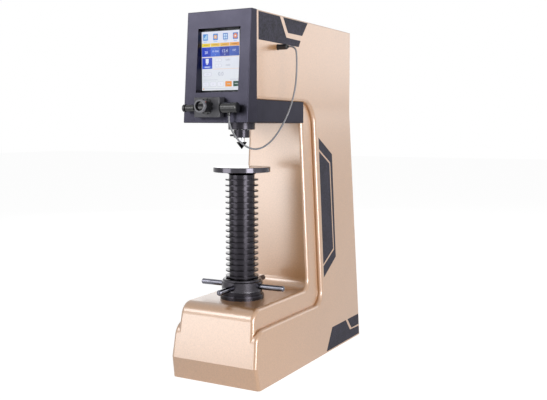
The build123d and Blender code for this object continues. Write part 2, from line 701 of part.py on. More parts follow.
def guide_flange():
    """The flanged sleeve that guides the screw and carries the capstan's thrust bearing."""
    bore = SCREW_RIDGE_RADIUS + RUNNING_FIT
    top, seat = flange_top(), BASE_TOP + FLANGE_HEIGHT
    outline = [
        (bore, BASE_TOP - SLEEVE_DEPTH), (SLEEVE_RADIUS, BASE_TOP - SLEEVE_DEPTH), (SLEEVE_RADIUS, BASE_TOP),
        (FLANGE_RADIUS, BASE_TOP), (FLANGE_RADIUS, seat - 3), (FLANGE_RADIUS - 1, seat),
        (FLANGE_SHOULDER_RADIUS, seat), (FLANGE_SHOULDER_RADIUS, top), (BEARING_OUTER, top),
        (BEARING_OUTER, top - BEARING_THICKNESS), (BEARING_INNER, top - BEARING_THICKNESS),
        (BEARING_INNER, top), (bore, top),
    ]
    sleeve = Pos(0, SPINDLE_Y, 0) * lathe(outline)
    return sleeve - key_block(KEYWAY_WIDTH, 0)


def key_block(width, gap):
    """The key's block: from the keyway's floor to the outside of the sleeve."""
    floor = SPINDLE_BACK + SCREW_RIDGE_RADIUS - KEYWAY_DEPTH
    low = BASE_TOP - SLEEVE_DEPTH + 10
    return block(-width / 2, width / 2, floor + gap, SPINDLE_BACK + SLEEVE_RADIUS - 1.5, low, low + 40)


def guide_key():
    return key_block(KEYWAY_WIDTH - 2 * RUNNING_FIT, 2 * RUNNING_FIT)


def thrust_bearing():
    low = flange_top() - BEARING_THICKNESS
    fit = RUNNING_FIT
    return ring(BEARING_OUTER - fit, BEARING_INNER + fit, low, flange_top() + HUB_LIFT - 2 * fit)


def capstan_hub():
    bore = SCREW_RIDGE_RADIUS + RUNNING_FIT
    low = flange_top() + HUB_LIFT
    top = low + HUB_HEIGHT
    groove = HUB_RADIUS - HUB_GROOVE
    outline = [
        (bore, low), (groove, low), (groove, low + 2), (HUB_RADIUS, low + 2), (HUB_RADIUS, top - 5),
        (HUB_RADIUS - 3, top - 3.5), (HUB_RADIUS - 3, top - 1), (HUB_RADIUS - 4, top), (bore, top),
    ]
    hub = Pos(0, SPINDLE_Y, 0) * lathe(outline)
    for rod in rod_pieces():
        hub -= rod
    return hub


def dome_arc(radius, base, height):
    """The arc of a ball's cap from its rim to the axis, in a (radius, height) profile."""
    ball = (radius**2 + height**2) / (2 * height)
    half = math.asin(radius / ball) / 2
    middle = (ball * math.sin(half), base + height - ball * (1 - math.cos(half)))
    return ThreePointArc((radius, base), middle, (0, base + height))


def rod_pieces():
    """Four round rods, screwed into the hub, with domed tips."""
    root = HUB_RADIUS - ROD_SOCKET
    straight = ROD_REACH - ROD_DOME - root
    shaft = Polyline((0, straight + ROD_DOME), (0, 0), (ROD_RADIUS, 0), (ROD_RADIUS, straight))
    rod = revolve(Plane.XZ * make_face([shaft, dome_arc(ROD_RADIUS, straight, ROD_DOME)]), Axis.Z)
    z = flange_top() + HUB_LIFT + ROD_HEIGHT
    centre = Pos(0, SPINDLE_Y, z)
    turns = [ROD_TURN + 90 * n for n in range(4)]
    return [centre * Rot(0, 0, turn) * Pos(root, 0, 0) * Rot(0, 90, 0) * rod for turn in turns]


def capstan_rods():
    return Compound(rod_pieces())


# ---- Spindle and indenter ----
def nose_ring():
    bore = SPINDLE_RADIUS + RUNNING_FIT
    spigot = NOSE_HOLE_RADIUS - RUNNING_FIT
    outline = [
        (bore, NOSE_RING_BOTTOM), (NOSE_RING_RADIUS - 1, NOSE_RING_BOTTOM),
        (NOSE_RING_RADIUS, NOSE_RING_BOTTOM + 1), (NOSE_RING_RADIUS, BEZEL_BOTTOM), (spigot, BEZEL_BOTTOM),
        (spigot, BEZEL_BOTTOM + NOSE_SPIGOT), (bore, BEZEL_BOTTOM + NOSE_SPIGOT),
    ]
    return Pos(0, SPINDLE_Y, 0) * lathe(outline)


def spindle():
    return post(SPINDLE_RADIUS, CHUCK_TOP, SPINDLE_TOP)


def indenter_chuck():
    hole = SHANK_RADIUS + RUNNING_FIT
    top = CHUCK_TOP
    outline = [
        (hole, CHUCK_BOTTOM), (CHUCK_RADIUS - 1, CHUCK_BOTTOM), (CHUCK_RADIUS, CHUCK_BOTTOM + 1),
        (CHUCK_RADIUS, top), (0, top), (0, CHUCK_BOTTOM + SHANK_SOCKET), (hole, CHUCK_BOTTOM + SHANK_SOCKET),
    ]
    chuck = Pos(0, SPINDLE_Y, 0) * lathe(outline)
    thread = post_at_origin(CLAMP_RADIUS - 0.5, CLAMP_REACH)
    return chuck - along_x(thread, 0, SPINDLE_BACK, CLAMP_HEIGHT, flip=True)


def post_at_origin(radius, length):
    return Pos(0, 0, length / 2) * Cylinder(radius, length)


def clamp_screw():
    neck = CLAMP_RADIUS - 0.5 - RUNNING_FIT
    start, head = SHANK_RADIUS + RUNNING_FIT, CLAMP_REACH - 7
    outline = [
        (0, start), (neck, start), (neck, head), (CLAMP_RADIUS, head), (CLAMP_RADIUS, CLAMP_REACH - 0.5),
        (CLAMP_RADIUS - 0.5, CLAMP_REACH), (0, CLAMP_REACH),
    ]
    return along_x(lathe(outline), 0, SPINDLE_BACK, CLAMP_HEIGHT, flip=True)


def indenter_shank():
    return post(SHANK_RADIUS, SHANK_BOTTOM, CHUCK_BOTTOM + SHANK_SOCKET)


def indenter_cone():
    rim = SHANK_BOTTOM - CONE_RIM
    outline = [
        (0, SHANK_BOTTOM), (CONE_RADIUS - 0.6, SHANK_BOTTOM), (CONE_RADIUS, rim), (0.25, CONE_TIP),
        (0, CONE_TIP),
    ]
    return Pos(0, SPINDLE_Y, 0) * lathe(outline)


def spindle_bush():
    bore = SPINDLE_RADIUS + RUNNING_FIT
    floor = HEAD_FLOOR + WALL
    outline = [
        (bore, HEAD_FLOOR), (BUSH_RADIUS - RUNNING_FIT, HEAD_FLOOR), (BUSH_RADIUS - RUNNING_FIT, floor),
        (BUSH_FLANGE_RADIUS, floor), (BUSH_FLANGE_RADIUS, floor + BUSH_FLANGE), (bore, floor + BUSH_FLANGE),
    ]
    return Pos(0, SPINDLE_Y, 0) * lathe(outline)


# ---- Load train in the head ----
def crosshead_bottom():
    return SPINDLE_TOP + CELL_HEIGHT


def load_cell():
    """An S-shaped cell: a block with one slot from each side."""
    half, depth = CELL_SIZE / 2, CELL_SIZE / 4
    back0, back1 = SPINDLE_BACK - depth, SPINDLE_BACK + depth
    cell = block(-half, half, back0, back1, SPINDLE_TOP, crosshead_bottom())
    low, high = SPINDLE_TOP + CELL_HEIGHT * 0.25, SPINDLE_TOP + CELL_HEIGHT * 0.75
    cell -= block(-half - 1, half * 0.6, back0 - 1, back1 + 1, low - CELL_SLOT, low)
    return cell - block(-half * 0.6, half + 1, back0 - 1, back1 + 1, high, high + CELL_SLOT)


def crosshead():
    low = crosshead_bottom()
    top = low + CROSSHEAD_HEIGHT
    head = block(
        -CROSSHEAD_HALF_WIDTH, CROSSHEAD_HALF_WIDTH, SPINDLE_BACK - CROSSHEAD_HALF_DEPTH,
        SPINDLE_BACK + CROSSHEAD_HALF_DEPTH, low, top,
    )
    head = fillet(head.edges().filter_by(Axis.Z), 8)
    head -= post(BALL_SCREW_RADIUS + 1, low - 1, top + 1)
    for side in (-1, 1):
        head -= post(GUIDE_RADIUS + RUNNING_FIT, low - 1, top + 1, side * GUIDE_X)
    return head


def ball_nut():
    low = crosshead_bottom() + CROSSHEAD_HEIGHT
    bore = BALL_SCREW_RADIUS + RUNNING_FIT
    flange = ring(BALL_NUT_RADIUS + 6, bore, low, low + 5)
    return ring(BALL_NUT_RADIUS, bore, low, low + BALL_NUT_HEIGHT) + flange


def guide_rods():
    low = HEAD_FLOOR + WALL
    return Compound([post(GUIDE_RADIUS, low, DRIVE_PLATE_BOTTOM, side * GUIDE_X) for side in (-1, 1)])


def ball_screw():
    journal = BALL_SCREW_RADIUS - 1
    top = DRIVE_PLATE_BOTTOM + DRIVE_PLATE_THICKNESS
    outline = [
        (0, crosshead_bottom() + 6), (BALL_SCREW_RADIUS, crosshead_bottom() + 6),
        (BALL_SCREW_RADIUS, DRIVE_PLATE_BOTTOM - 4), (BALL_SCREW_RADIUS + 2, DRIVE_PLATE_BOTTOM - 4),
        (BALL_SCREW_RADIUS + 2, DRIVE_PLATE_BOTTOM - 0.2), (journal, DRIVE_PLATE_BOTTOM - 0.2),
        (journal, top + PULLEY_HEIGHT + 4), (0, top + PULLEY_HEIGHT + 4),
    ]
    return Pos(0, SPINDLE_Y, 0) * lathe(outline)


def screw_bearing():
    bore = BALL_SCREW_RADIUS - 1 + RUNNING_FIT
    top = DRIVE_PLATE_BOTTOM + DRIVE_PLATE_THICKNESS
    return ring(BEARING_RADIUS - RUNNING_FIT, bore, DRIVE_PLATE_BOTTOM, top)


def drive_plate():
    top = DRIVE_PLATE_BOTTOM + DRIVE_PLATE_THICKNESS
    plate = block(
        -HEAD_INNER, HEAD_INNER, DRIVE_PLATE_BACK, DRIVE_PLATE_END, DRIVE_PLATE_BOTTOM, top
    )
    plate -= post(BEARING_RADIUS, DRIVE_PLATE_BOTTOM - 1, top + 1)
    return plate - post(MOTOR_PILOT_RADIUS, DRIVE_PLATE_BOTTOM - 1, top + 1, 0, MOTOR_BACK)


def pulley(radius, bore, back):
    low = DRIVE_PLATE_BOTTOM + DRIVE_PLATE_THICKNESS + 1
    top = low + PULLEY_HEIGHT
    outline = [
        (bore, low), (radius + PULLEY_LIP, low), (radius + PULLEY_LIP, low + PULLEY_LIP_HEIGHT),
        (radius, low + PULLEY_LIP_HEIGHT), (radius, top - PULLEY_LIP_HEIGHT),
        (radius + PULLEY_LIP, top - PULLEY_LIP_HEIGHT), (radius + PULLEY_LIP, top), (bore, top),
    ]
    return Pos(0, FRONT_Y + back, 0) * lathe(outline)


def screw_pulley():
    return pulley(BIG_PULLEY_RADIUS, BALL_SCREW_RADIUS - 1, SPINDLE_BACK)


def motor_pulley():
    """The small pulley, in one piece with its hub on the motor's shaft."""
    low = DRIVE_PLATE_BOTTOM + DRIVE_PLATE_THICKNESS + 1
    wheel = pulley(SMALL_PULLEY_RADIUS, MOTOR_SHAFT_RADIUS, MOTOR_BACK)
    return wheel + post(MOTOR_SHAFT_RADIUS, DRIVE_PLATE_BOTTOM + 2.2, low + PULLEY_HEIGHT, 0, MOTOR_BACK)


def belt_loop(thickness):
    """The outline of the belt round both pulleys, as a face in plan."""
    large, small = BIG_PULLEY_RADIUS + BELT_GAP + thickness, SMALL_PULLEY_RADIUS + BELT_GAP + thickness
    span = MOTOR_BACK - SPINDLE_BACK
    tilt = math.asin((large - small) / span)
    spread, lift = math.cos(tilt), math.sin(tilt)
    strip = [
        (large * spread, large * lift), (small * spread, span + small * lift),
        (-small * spread, span + small * lift), (-large * spread, large * lift),
    ]
    return make_face(Polyline(*strip, close=True)) + Circle(large) + Pos(0, span) * Circle(small)


def drive_belt():
    low = DRIVE_PLATE_BOTTOM + DRIVE_PLATE_THICKNESS + 1 + PULLEY_LIP_HEIGHT + BELT_GAP
    width = PULLEY_HEIGHT - 2 * (PULLEY_LIP_HEIGHT + BELT_GAP)
    return Pos(0, SPINDLE_Y, low) * extrude(belt_loop(BELT_THICKNESS) - belt_loop(0.0), width)


def drive_motor():
    half = MOTOR_SIZE / 2
    low = DRIVE_PLATE_BOTTOM - MOTOR_HEIGHT
    case = block(-half, half, MOTOR_BACK - half, MOTOR_BACK + half, low, DRIVE_PLATE_BOTTOM)
    case = chamfer(case.edges().filter_by(Axis.Z), 5)
    pilot = MOTOR_PILOT_RADIUS - RUNNING_FIT
    return case + post(pilot, DRIVE_PLATE_BOTTOM - 1, DRIVE_PLATE_BOTTOM + 2, 0, MOTOR_BACK)


# ---- Measuring eyepiece ----
def eyepiece_block():
    outline = [
        (EYE_BLOCK_FRONT, EYE_BLOCK_BOTTOM), (bezel_back(EYE_BLOCK_BOTTOM), EYE_BLOCK_BOTTOM),
        (bezel_back(EYE_BLOCK_TOP), EYE_BLOCK_TOP), (EYE_BLOCK_FRONT, EYE_BLOCK_TOP),
    ]
    width = EYE_BLOCK_RIGHT - EYE_BLOCK_LEFT
    solid = Pos((EYE_BLOCK_LEFT + EYE_BLOCK_RIGHT) / 2, 0, 0) * side_prism(side_face(outline), width / 2)
    front = solid.edges().filter_by(lambda edge: edge.position_at(0.5).Y < FRONT_Y + EYE_BLOCK_FRONT + 0.5)
    solid = chamfer(front, 0.8)
    solid -= along_y(post_at_origin(EYE_BORE, -EYE_BLOCK_FRONT), EYE_X, EYE_BLOCK_FRONT, EYE_Z)
    solid -= line_chamber()
    chamber = LINE_CHAMBER / 2
    left_hole = post_at_origin(KNOB_SHAFT_RADIUS + RUNNING_FIT, EYE_X - chamber - EYE_BLOCK_LEFT)
    solid -= along_x(left_hole, EYE_BLOCK_LEFT, KNOB_BACK, KNOB_Z)
    right_hole = post_at_origin(KNOB_SHAFT_RADIUS - 1 + RUNNING_FIT, EYE_BLOCK_RIGHT - EYE_X - chamber)
    return solid - along_x(right_hole, EYE_BLOCK_RIGHT, KNOB_BACK, KNOB_Z, flip=True)


def line_chamber():
    half = LINE_CHAMBER / 2
    high = LINE_PLATE_SIZE / 2 + 0.15
    return block(EYE_X - half, EYE_X + half, -6.5, 0.5, EYE_Z - high, EYE_Z + high)


def line_plate(back):
    half = LINE_PLATE_SIZE / 2
    return block(EYE_X - half, EYE_X + half, back, back + LINE_PLATE_THICKNESS, EYE_Z - half, EYE_Z + half)


def zero_line_plate():
    return line_plate(-5.8)


def measuring_line_plate():
    return line_plate(-2.4)


def eyepiece_barrel():
    """The barrel, with a notched locking ring turned on its foot."""
    length = EYE_BLOCK_FRONT - BARREL_FRONT
    spigot = OCULAR_SPIGOT + RUNNING_FIT
    outline = [
        (EYE_BORE, 0), (LOCK_RING_RADIUS, 0), (LOCK_RING_RADIUS, LOCK_RING_WIDTH),
        (BARREL_RADIUS, LOCK_RING_WIDTH), (BARREL_RADIUS, length), (spigot, length), (spigot, 3),
        (EYE_BORE, 3),
    ]
    barrel = lathe(outline)
    notch = Pos(LOCK_RING_RADIUS, 0, 0) * Box(2 * LOCK_RING_NOTCH_DEPTH, LOCK_RING_NOTCH, 3 * LOCK_RING_WIDTH)
    for n in range(LOCK_RING_TEETH):
        barrel -= Rot(0, 0, 360 * n / LOCK_RING_TEETH) * notch
    return along_y(barrel, EYE_X, EYE_BLOCK_FRONT, EYE_Z, flip=True)


def ocular_ring():
    """The turning front ring that focuses the eye lens on the lines."""
    total = EYE_BLOCK_FRONT - OCULAR_FRONT
    shoulder = EYE_BLOCK_FRONT - BARREL_FRONT + 0.3
    seat = total - LENS_RECESS
    outline = [
        (EYE_BORE, 4), (OCULAR_SPIGOT, 4), (OCULAR_SPIGOT, shoulder), (OCULAR_RADIUS, shoulder),
        (OCULAR_RADIUS, total - 1), (OCULAR_RADIUS - 1, total), (OCULAR_BORE, total), (OCULAR_BORE, seat),
        (EYE_BORE, seat),
    ]
    return along_y(lathe(outline), EYE_X, EYE_BLOCK_FRONT, EYE_Z, flip=True)


def eye_lens():
    """A plano-convex lens resting on the ledge inside the ocular ring."""
    rim = OCULAR_BORE - RUNNING_FIT
    sides = Polyline((0, LENS_THICKNESS + LENS_CROWN), (0, 0), (rim, 0), (rim, LENS_THICKNESS))
    edge = make_face([sides, dome_arc(rim, LENS_THICKNESS, LENS_CROWN)])
    seat = EYE_BLOCK_FRONT - (EYE_BLOCK_FRONT - OCULAR_FRONT - LENS_RECESS)
    return along_y(revolve(Plane.XZ * edge, Axis.Z), EYE_X, seat, EYE_Z, flip=True)


def zero_knob():
    """The left knob: a shaft into the block, a round grip, a groove and a flange at its end."""
    reach = -KNOB_END
    start = -(EYE_X - LINE_CHAMBER / 2) + 0.5
    grip = KNOB_GAP - EYE_BLOCK_LEFT
    flange = reach - KNOB_FLANGE
    groove = flange - KNOB_GROOVE
    outline = [
        (0, start), (KNOB_SHAFT_RADIUS, start), (KNOB_SHAFT_RADIUS, grip), (KNOB_GRIP_RADIUS, grip),
        (KNOB_GRIP_RADIUS, groove), (KNOB_GROOVE_RADIUS, groove), (KNOB_GROOVE_RADIUS, flange),
        (KNOB_RADIUS, flange), (KNOB_RADIUS, reach - 1), (KNOB_RADIUS - 1, reach), (0, reach),
    ]
    return along_x(lathe(outline), 0, KNOB_BACK, KNOB_Z, flip=True)


def drum_body():
    """The fixed half of the drum, with the encoder inside it."""
    bore = KNOB_SHAFT_RADIUS - 1 + RUNNING_FIT
    outline = [
        (bore, EYE_BLOCK_RIGHT), (bore + 1.2, EYE_BLOCK_RIGHT), (DRUM_RADIUS - 0.8, DRUM_START - 0.6),
        (DRUM_RADIUS, DRUM_START), (DRUM_RADIUS, DRUM_SPLIT), (bore, DRUM_SPLIT),
    ]
    return along_x(lathe(outline), 0, KNOB_BACK, KNOB_Z)


def drum_cap():
    """The turning end of the drum, in one piece with the measuring spindle."""
    start = EYE_X + LINE_CHAMBER / 2 + 0.5
    face = DRUM_SPLIT + ROCKER_GAP
    shaft = KNOB_SHAFT_RADIUS - 1
    outline = [
        (0, start), (shaft, start), (shaft, face), (DRUM_RADIUS, face), (DRUM_RADIUS, DRUM_END - 1),
        (DRUM_RADIUS - 1, DRUM_END), (0, DRUM_END),
    ]
    return along_x(lathe(outline), 0, KNOB_BACK, KNOB_Z)


def gland_bottom():
    return KNOB_Z - DRUM_RADIUS - GLAND_DROP


def cable_gland():
    """A short collar under the drum, seated on its round side."""
    low = gland_bottom()
    collar = post(GLAND_RADIUS, low + 2, KNOB_Z, GLAND_X, KNOB_BACK)
    collar += post(GLAND_RADIUS - 0.8, low, low + 2, GLAND_X, KNOB_BACK)
    return collar - along_x(post_at_origin(DRUM_RADIUS, DRUM_END), 0, KNOB_BACK, KNOB_Z)


# ---- Signal cable ----
CABLE_ROUTE = [
    (40.0, -241.65, 541.8), (40.0, -241.65, 530.0), (42.5, -237.0, 515.0), (48.0, -226.5, 498.0),
    (57.0, -209.5, 482.5), (68.5, -187.5, 475.0), (80.2, -164.5, 483.0), (90.8, -143.5, 503.0),
    (100.8, -126.0, 532.0), (108.9, -114.8, 562.5), (114.8, -109.6, 591.5), (118.0, -108.1, 619.0),
    (119.0, -108.0, 645.0), (118.6, -108.0, 662.8), (117.7, -108.0, 674.6), (113.8, -108.02, 680.4),
    (107.6, -108.05, 683.6), (101.5, -108.05, 683.6),
]


def route_radii(route):
    """The largest arc that each corner's two runs allow."""
    radii = []
    for before, corner, after in zip(route, route[1:], route[2:]):
        into, out = Vector(corner) - Vector(before), Vector(after) - Vector(corner)
        half_turn = math.radians(into.get_angle(out)) / 2
        radii.append(0.45 * min(into.length, out.length) / math.tan(half_turn))
    return radii


def signal_cable():
    radii = route_radii(CABLE_ROUTE)
    path = FilletPolyline(*CABLE_ROUTE, radius=radii)
    start = Plane(origin=CABLE_ROUTE[0], z_dir=Vector(CABLE_ROUTE[1]) - Vector(CABLE_ROUTE[0]))
    tube = sweep(start * Circle(CABLE_RADIUS), path=path)
    expected = math.pi * CABLE_RADIUS**2 * path.length
    print("cable radii mm", [round(radius, 1) for radius in radii])
    print("cable length mm", round(path.length, 1))
    print("cable volume mm3", round(tube.volume, 1), "expected", round(expected, 1))
    return tube


def plug_socket():
    fit = RUNNING_FIT
    outline = [
        (PLUG_RADIUS - 1.5, -SOCKET_DEPTH), (SOCKET_RADIUS - fit, -SOCKET_DEPTH), (SOCKET_RADIUS - fit, 0),
        (SOCKET_NUT_RADIUS, 0), (SOCKET_NUT_RADIUS, SOCKET_NUT), (PLUG_RADIUS - 1.5, SOCKET_NUT),
    ]
    return along_x(lathe(outline), HEAD_HALF_WIDTH, PLUG_BACK, PLUG_Z)


def cable_plug():
    start = HEAD_HALF_WIDTH + SOCKET_NUT
    tip = HEAD_HALF_WIDTH - SOCKET_DEPTH / 2
    outline = [
        (0, tip), (PLUG_RADIUS - 1.7, tip), (PLUG_RADIUS - 1.7, start), (PLUG_RADIUS, start),
        (PLUG_RADIUS, PLUG_END - 2), (PLUG_RADIUS - 1.4, PLUG_END), (CABLE_RADIUS + 0.9, PLUG_END),
        (CABLE_RADIUS + 0.2, BOOT_END), (0, BOOT_END),
    ]
    return along_x(lathe(outline), 0, PLUG_BACK, PLUG_Z)


# ---- Electronics in the column ----
def column_front():
    return THROAT_BACK + WALL


def control_board():
    back = column_front() + BOARD_STAND
    half = BOARD_WIDTH / 2
    board = block(-half, half, back, back + BOARD_THICKNESS, BOARD_BOTTOM, BOARD_BOTTOM + BOARD_HEIGHT)
    rear = back + BOARD_THICKNESS
    for left, right, low, high, thickness in (BOARD_SCREEN_CHIP, BOARD_DRIVE_CHIP, BOARD_PLUG_ROW):
        board += block(left, right, rear, rear + thickness, BOARD_BOTTOM + low, BOARD_BOTTOM + high)
    return board


def board_spacers():
    back = column_front()
    across = BOARD_WIDTH / 2 - BOARD_CORNER
    low, high = BOARD_BOTTOM + BOARD_CORNER, BOARD_BOTTOM + BOARD_HEIGHT - BOARD_CORNER
    spacer = post_at_origin(SPACER_RADIUS, BOARD_STAND)
    return Compound([along_y(spacer, side * across, back, z) for side in (-1, 1) for z in (low, high)])


def power_supply():
    back = column_front()
    half = SUPPLY_WIDTH / 2
    case = block(-half, half, back, back + SUPPLY_DEPTH, SUPPLY_BOTTOM, SUPPLY_BOTTOM + SUPPLY_HEIGHT)
    for row in range(6):
        z = SUPPLY_BOTTOM + 24 + row * 14
        case -= block(-half + 14, half - 14, back + SUPPLY_DEPTH - 2, back + SUPPLY_DEPTH + 1, z, z + 5)
    return case


# ---- Writing the nodes ----
def nodes():
    return {
        "housing": housing(), "rubber_pads": rubber_pads(), "side_inlays_left": inlays(-1),
        "side_inlays_right": inlays(1), "rear_cover": rear_cover(), "rear_cover_screws": rear_cover_screws(),
        "front_bezel": front_bezel(), "screen_glass": screen_glass(), "screen_panel": screen_panel(),
        "head_casing": head_casing(), "elevating_screw": elevating_screw(), "anvil": anvil(),
        "guide_flange": guide_flange(), "guide_key": guide_key(), "thrust_bearing": thrust_bearing(),
        "capstan_hub": capstan_hub(), "capstan_rods": capstan_rods(), "nose_ring": nose_ring(),
        "spindle": spindle(), "indenter_chuck": indenter_chuck(), "clamp_screw": clamp_screw(),
        "indenter_shank": indenter_shank(), "indenter_cone": indenter_cone(), "spindle_bush": spindle_bush(),
        "load_cell": load_cell(), "crosshead": crosshead(), "ball_nut": ball_nut(),
        "guide_rods": guide_rods(), "ball_screw": ball_screw(), "screw_bearing": screw_bearing(),
        "drive_plate": drive_plate(), "screw_pulley": screw_pulley(), "motor_pulley": motor_pulley(),
        "drive_belt": drive_belt(), "drive_motor": drive_motor(), "eyepiece_block": eyepiece_block(),
        "eyepiece_barrel": eyepiece_barrel(), "ocular_ring": ocular_ring(), "eye_lens": eye_lens(),
        "zero_knob": zero_knob(),
        "zero_line_plate": zero_line_plate(), "drum_body": drum_body(), "drum_cap": drum_cap(),
        "measuring_line_plate": measuring_line_plate(), "cable_gland": cable_gland(),
        "signal_cable": signal_cable(), "cable_plug": cable_plug(), "plug_socket": plug_socket(),
        "control_board": control_board(), "board_spacers": board_spacers(), "power_supply": power_supply(),
        "mains_inlet": mains_inlet(), "inlet_pins": inlet_pins(), "power_switch": power_switch(),
        "power_rocker": power_rocker(),
    }


os.makedirs("parts", exist_ok=True)
for name, shape in nodes().items():
    export_step(shape, "parts/" + name + ".step")
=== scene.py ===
"""A bench hardness tester: champagne-painted casting, dark touch-screen head, blackened elevating screw
with a round anvil, and a digital measuring eyepiece with its cable. Metres, +Z up, the operator at -Y."""

import math
import bpy
import numpy as np
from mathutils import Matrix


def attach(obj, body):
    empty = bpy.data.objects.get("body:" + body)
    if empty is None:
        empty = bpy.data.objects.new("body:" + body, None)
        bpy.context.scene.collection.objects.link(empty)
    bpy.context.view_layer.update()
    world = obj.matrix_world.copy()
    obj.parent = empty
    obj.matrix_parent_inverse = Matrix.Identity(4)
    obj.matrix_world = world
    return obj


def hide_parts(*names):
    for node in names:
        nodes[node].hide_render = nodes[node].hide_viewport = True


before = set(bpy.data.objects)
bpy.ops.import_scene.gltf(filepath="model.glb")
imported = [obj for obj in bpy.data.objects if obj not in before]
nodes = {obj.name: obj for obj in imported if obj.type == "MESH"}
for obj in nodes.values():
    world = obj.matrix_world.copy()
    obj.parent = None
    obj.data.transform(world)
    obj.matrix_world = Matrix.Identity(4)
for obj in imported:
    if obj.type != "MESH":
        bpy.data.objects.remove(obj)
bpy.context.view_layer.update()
scene = bpy.context.scene


# ---- Viewpoint ----
# The operator's view from the right, level with the indenter and looking slightly down, through a plain
# 52 mm lens. The turn is measured from looking straight at the front.
CAMERA_PLACE = (0.8655, -1.55985, 0.5194)
CAMERA_TURN = math.radians(28.87)
CAMERA_DIP = math.radians(5.19)

camera_data = bpy.data.cameras.new("viewpoint")
camera_data.lens = 52.42
camera_data.sensor_width = 36.0
camera_data.clip_end = 60.0
camera = bpy.data.objects.new("viewpoint", camera_data)
camera.location = CAMERA_PLACE
camera.rotation_euler = (math.pi / 2 - CAMERA_DIP, 0.0, CAMERA_TURN)
scene.collection.objects.link(camera)
scene.camera = camera
scene.view_settings.view_transform = "Standard"


# ---- Signal cable ----
# A thin screened lead with a grey jacket. It drops from the gland under the measuring drum, hangs in one
# free loop and rises to a small round plug on the head's side. The shader tools below serve every finish.
class Wire:
    """A shader value in Python arithmetic: each operation adds one Math node."""

    def __init__(self, tree, socket):
        self.tree = tree
        self.socket = socket

    def maths(self, operation, *others):
        node = self.tree.nodes.new("ShaderNodeMath")
        node.operation = operation
        for place, value in enumerate((self, *others)):
            if isinstance(value, Wire):
                self.tree.links.new(value.socket, node.inputs[place])
            else:
                node.inputs[place].default_value = value
        return Wire(self.tree, node.outputs[0])

    def __add__(self, other):
        return self.maths("ADD", other)

    def __mul__(self, other):
        return self.maths("MULTIPLY", other)

    def __sub__(self, other):
        return self.maths("SUBTRACT", other)


class Finish:
    """One material in the making, or the world's: its node tree and, for a material, its main shader."""

    def __init__(self, name, world=None):
        self.material = world or bpy.data.materials.new(name)
        self.material.use_nodes = True
        self.tree = self.material.node_tree
        self.shader = self.tree.nodes.get("Principled BSDF")

    def node(self, kind, settings=None, inputs=None, output=0):
        """Adds a node: its settings, then the values or links of its sockets, by name or by number."""
        node = self.tree.nodes.new(kind)
        for key, value in (settings or {}).items():
            setattr(node, key, value)
        for key, value in (inputs or {}).items():
            if isinstance(value, Wire):
                self.tree.links.new(value.socket, node.inputs[key])
            else:
                node.inputs[key].default_value = value
        return Wire(self.tree, node.outputs[output])

    def place(self):
        """The point on the piece, in metres from the frame's origin."""
        return self.node("ShaderNodeTexCoord", output="Object")

    def axis(self, letter):
        """One coordinate of that point."""
        return self.node("ShaderNodeSeparateXYZ", inputs={0: self.place()}, output=letter)

    def noise(self, per_metre, detail=2.0, stretch=(1.0, 1.0, 1.0)):
        """Noise with so many cells to the metre, drawn out along an axis where stretch is small."""
        spot = self.node("ShaderNodeMapping", inputs={"Vector": self.place(), "Scale": stretch})
        inputs = {"Vector": spot, "Scale": per_metre, "Detail": detail}
        return self.node("ShaderNodeTexNoise", inputs=inputs)

    def ramp(self, value, low, high):
        """A value spread so that low becomes 0 and high becomes 1, held at both ends."""
        return self.node("ShaderNodeMapRange", inputs={"Value": value, "From Min": low, "From Max": high})

    def tint(self, factor, first, second):
        """The first colour where the factor is 0, the second where it is 1 (sockets 6 and 7)."""
        ends = [colour if isinstance(colour, Wire) else (*colour, 1.0) for colour in (first, second)]
        inputs = {0: factor, 6: ends[0], 7: ends[1]}
        return self.node("ShaderNodeMix", {"data_type": "RGBA"}, inputs, output=2)

    def bump(self, height, depth):
        """Relief as deep as depth, in metres, over the full swing of height."""
        bump = self.node("ShaderNodeBump", inputs={"Height": height, "Distance": depth, "Strength": 1.0})
        return self.set(Normal=bump)

    def set(self, **values):
        """Gives the shader's own sockets their values or links; an underscore stands for a space."""
        for key, value in values.items():
            socket = self.shader.inputs[key.replace("_", " ")]
            if isinstance(value, Wire):
                self.tree.links.new(value.socket, socket)
            else:
                socket.default_value = (*value, 1.0) if isinstance(value, tuple) else value
        return self


def darker(colour, share):
    """A colour brought down to a share of itself."""
    return tuple(share * part for part in colour)


def moulded(name, base, roughness, grain=900.0, depth=0.00003):
    """Moulded plastic or rubber: spark-eroded grain in its colour, its gloss and its surface."""
    finish = Finish(name)
    texture = finish.noise(grain)
    cloud = finish.noise(40.0)
    dark = darker(base, 0.75)
    finish.set(Base_Color=finish.tint(finish.ramp(texture + cloud, low=0.7, high=1.3), dark, base))
    finish.set(Roughness=cloud * 0.12 + (roughness - 0.06))
    return finish.bump(texture, depth)


CABLE_ROUTE = [
    (0.0400, -0.24165, 0.5418), (0.0400, -0.24165, 0.5300), (0.0425, -0.2370, 0.5150),
    (0.0480, -0.2265, 0.4980), (0.0570, -0.2095, 0.4825), (0.0685, -0.1875, 0.4750),
    (0.0802, -0.1645, 0.4830), (0.0908, -0.1435, 0.5030), (0.1008, -0.1260, 0.5320),
    (0.1089, -0.1148, 0.5625), (0.1148, -0.1096, 0.5915), (0.1180, -0.1081, 0.6190),
    (0.1190, -0.1080, 0.6450), (0.1186, -0.1080, 0.6628), (0.1177, -0.1080, 0.6746),
    (0.1138, -0.10802, 0.6804), (0.1076, -0.10805, 0.6836), (0.1015, -0.10805, 0.6836),
]
CABLE_DIAMETER = 0.0036
JACKET_GREY = (0.26, 0.26, 0.28)

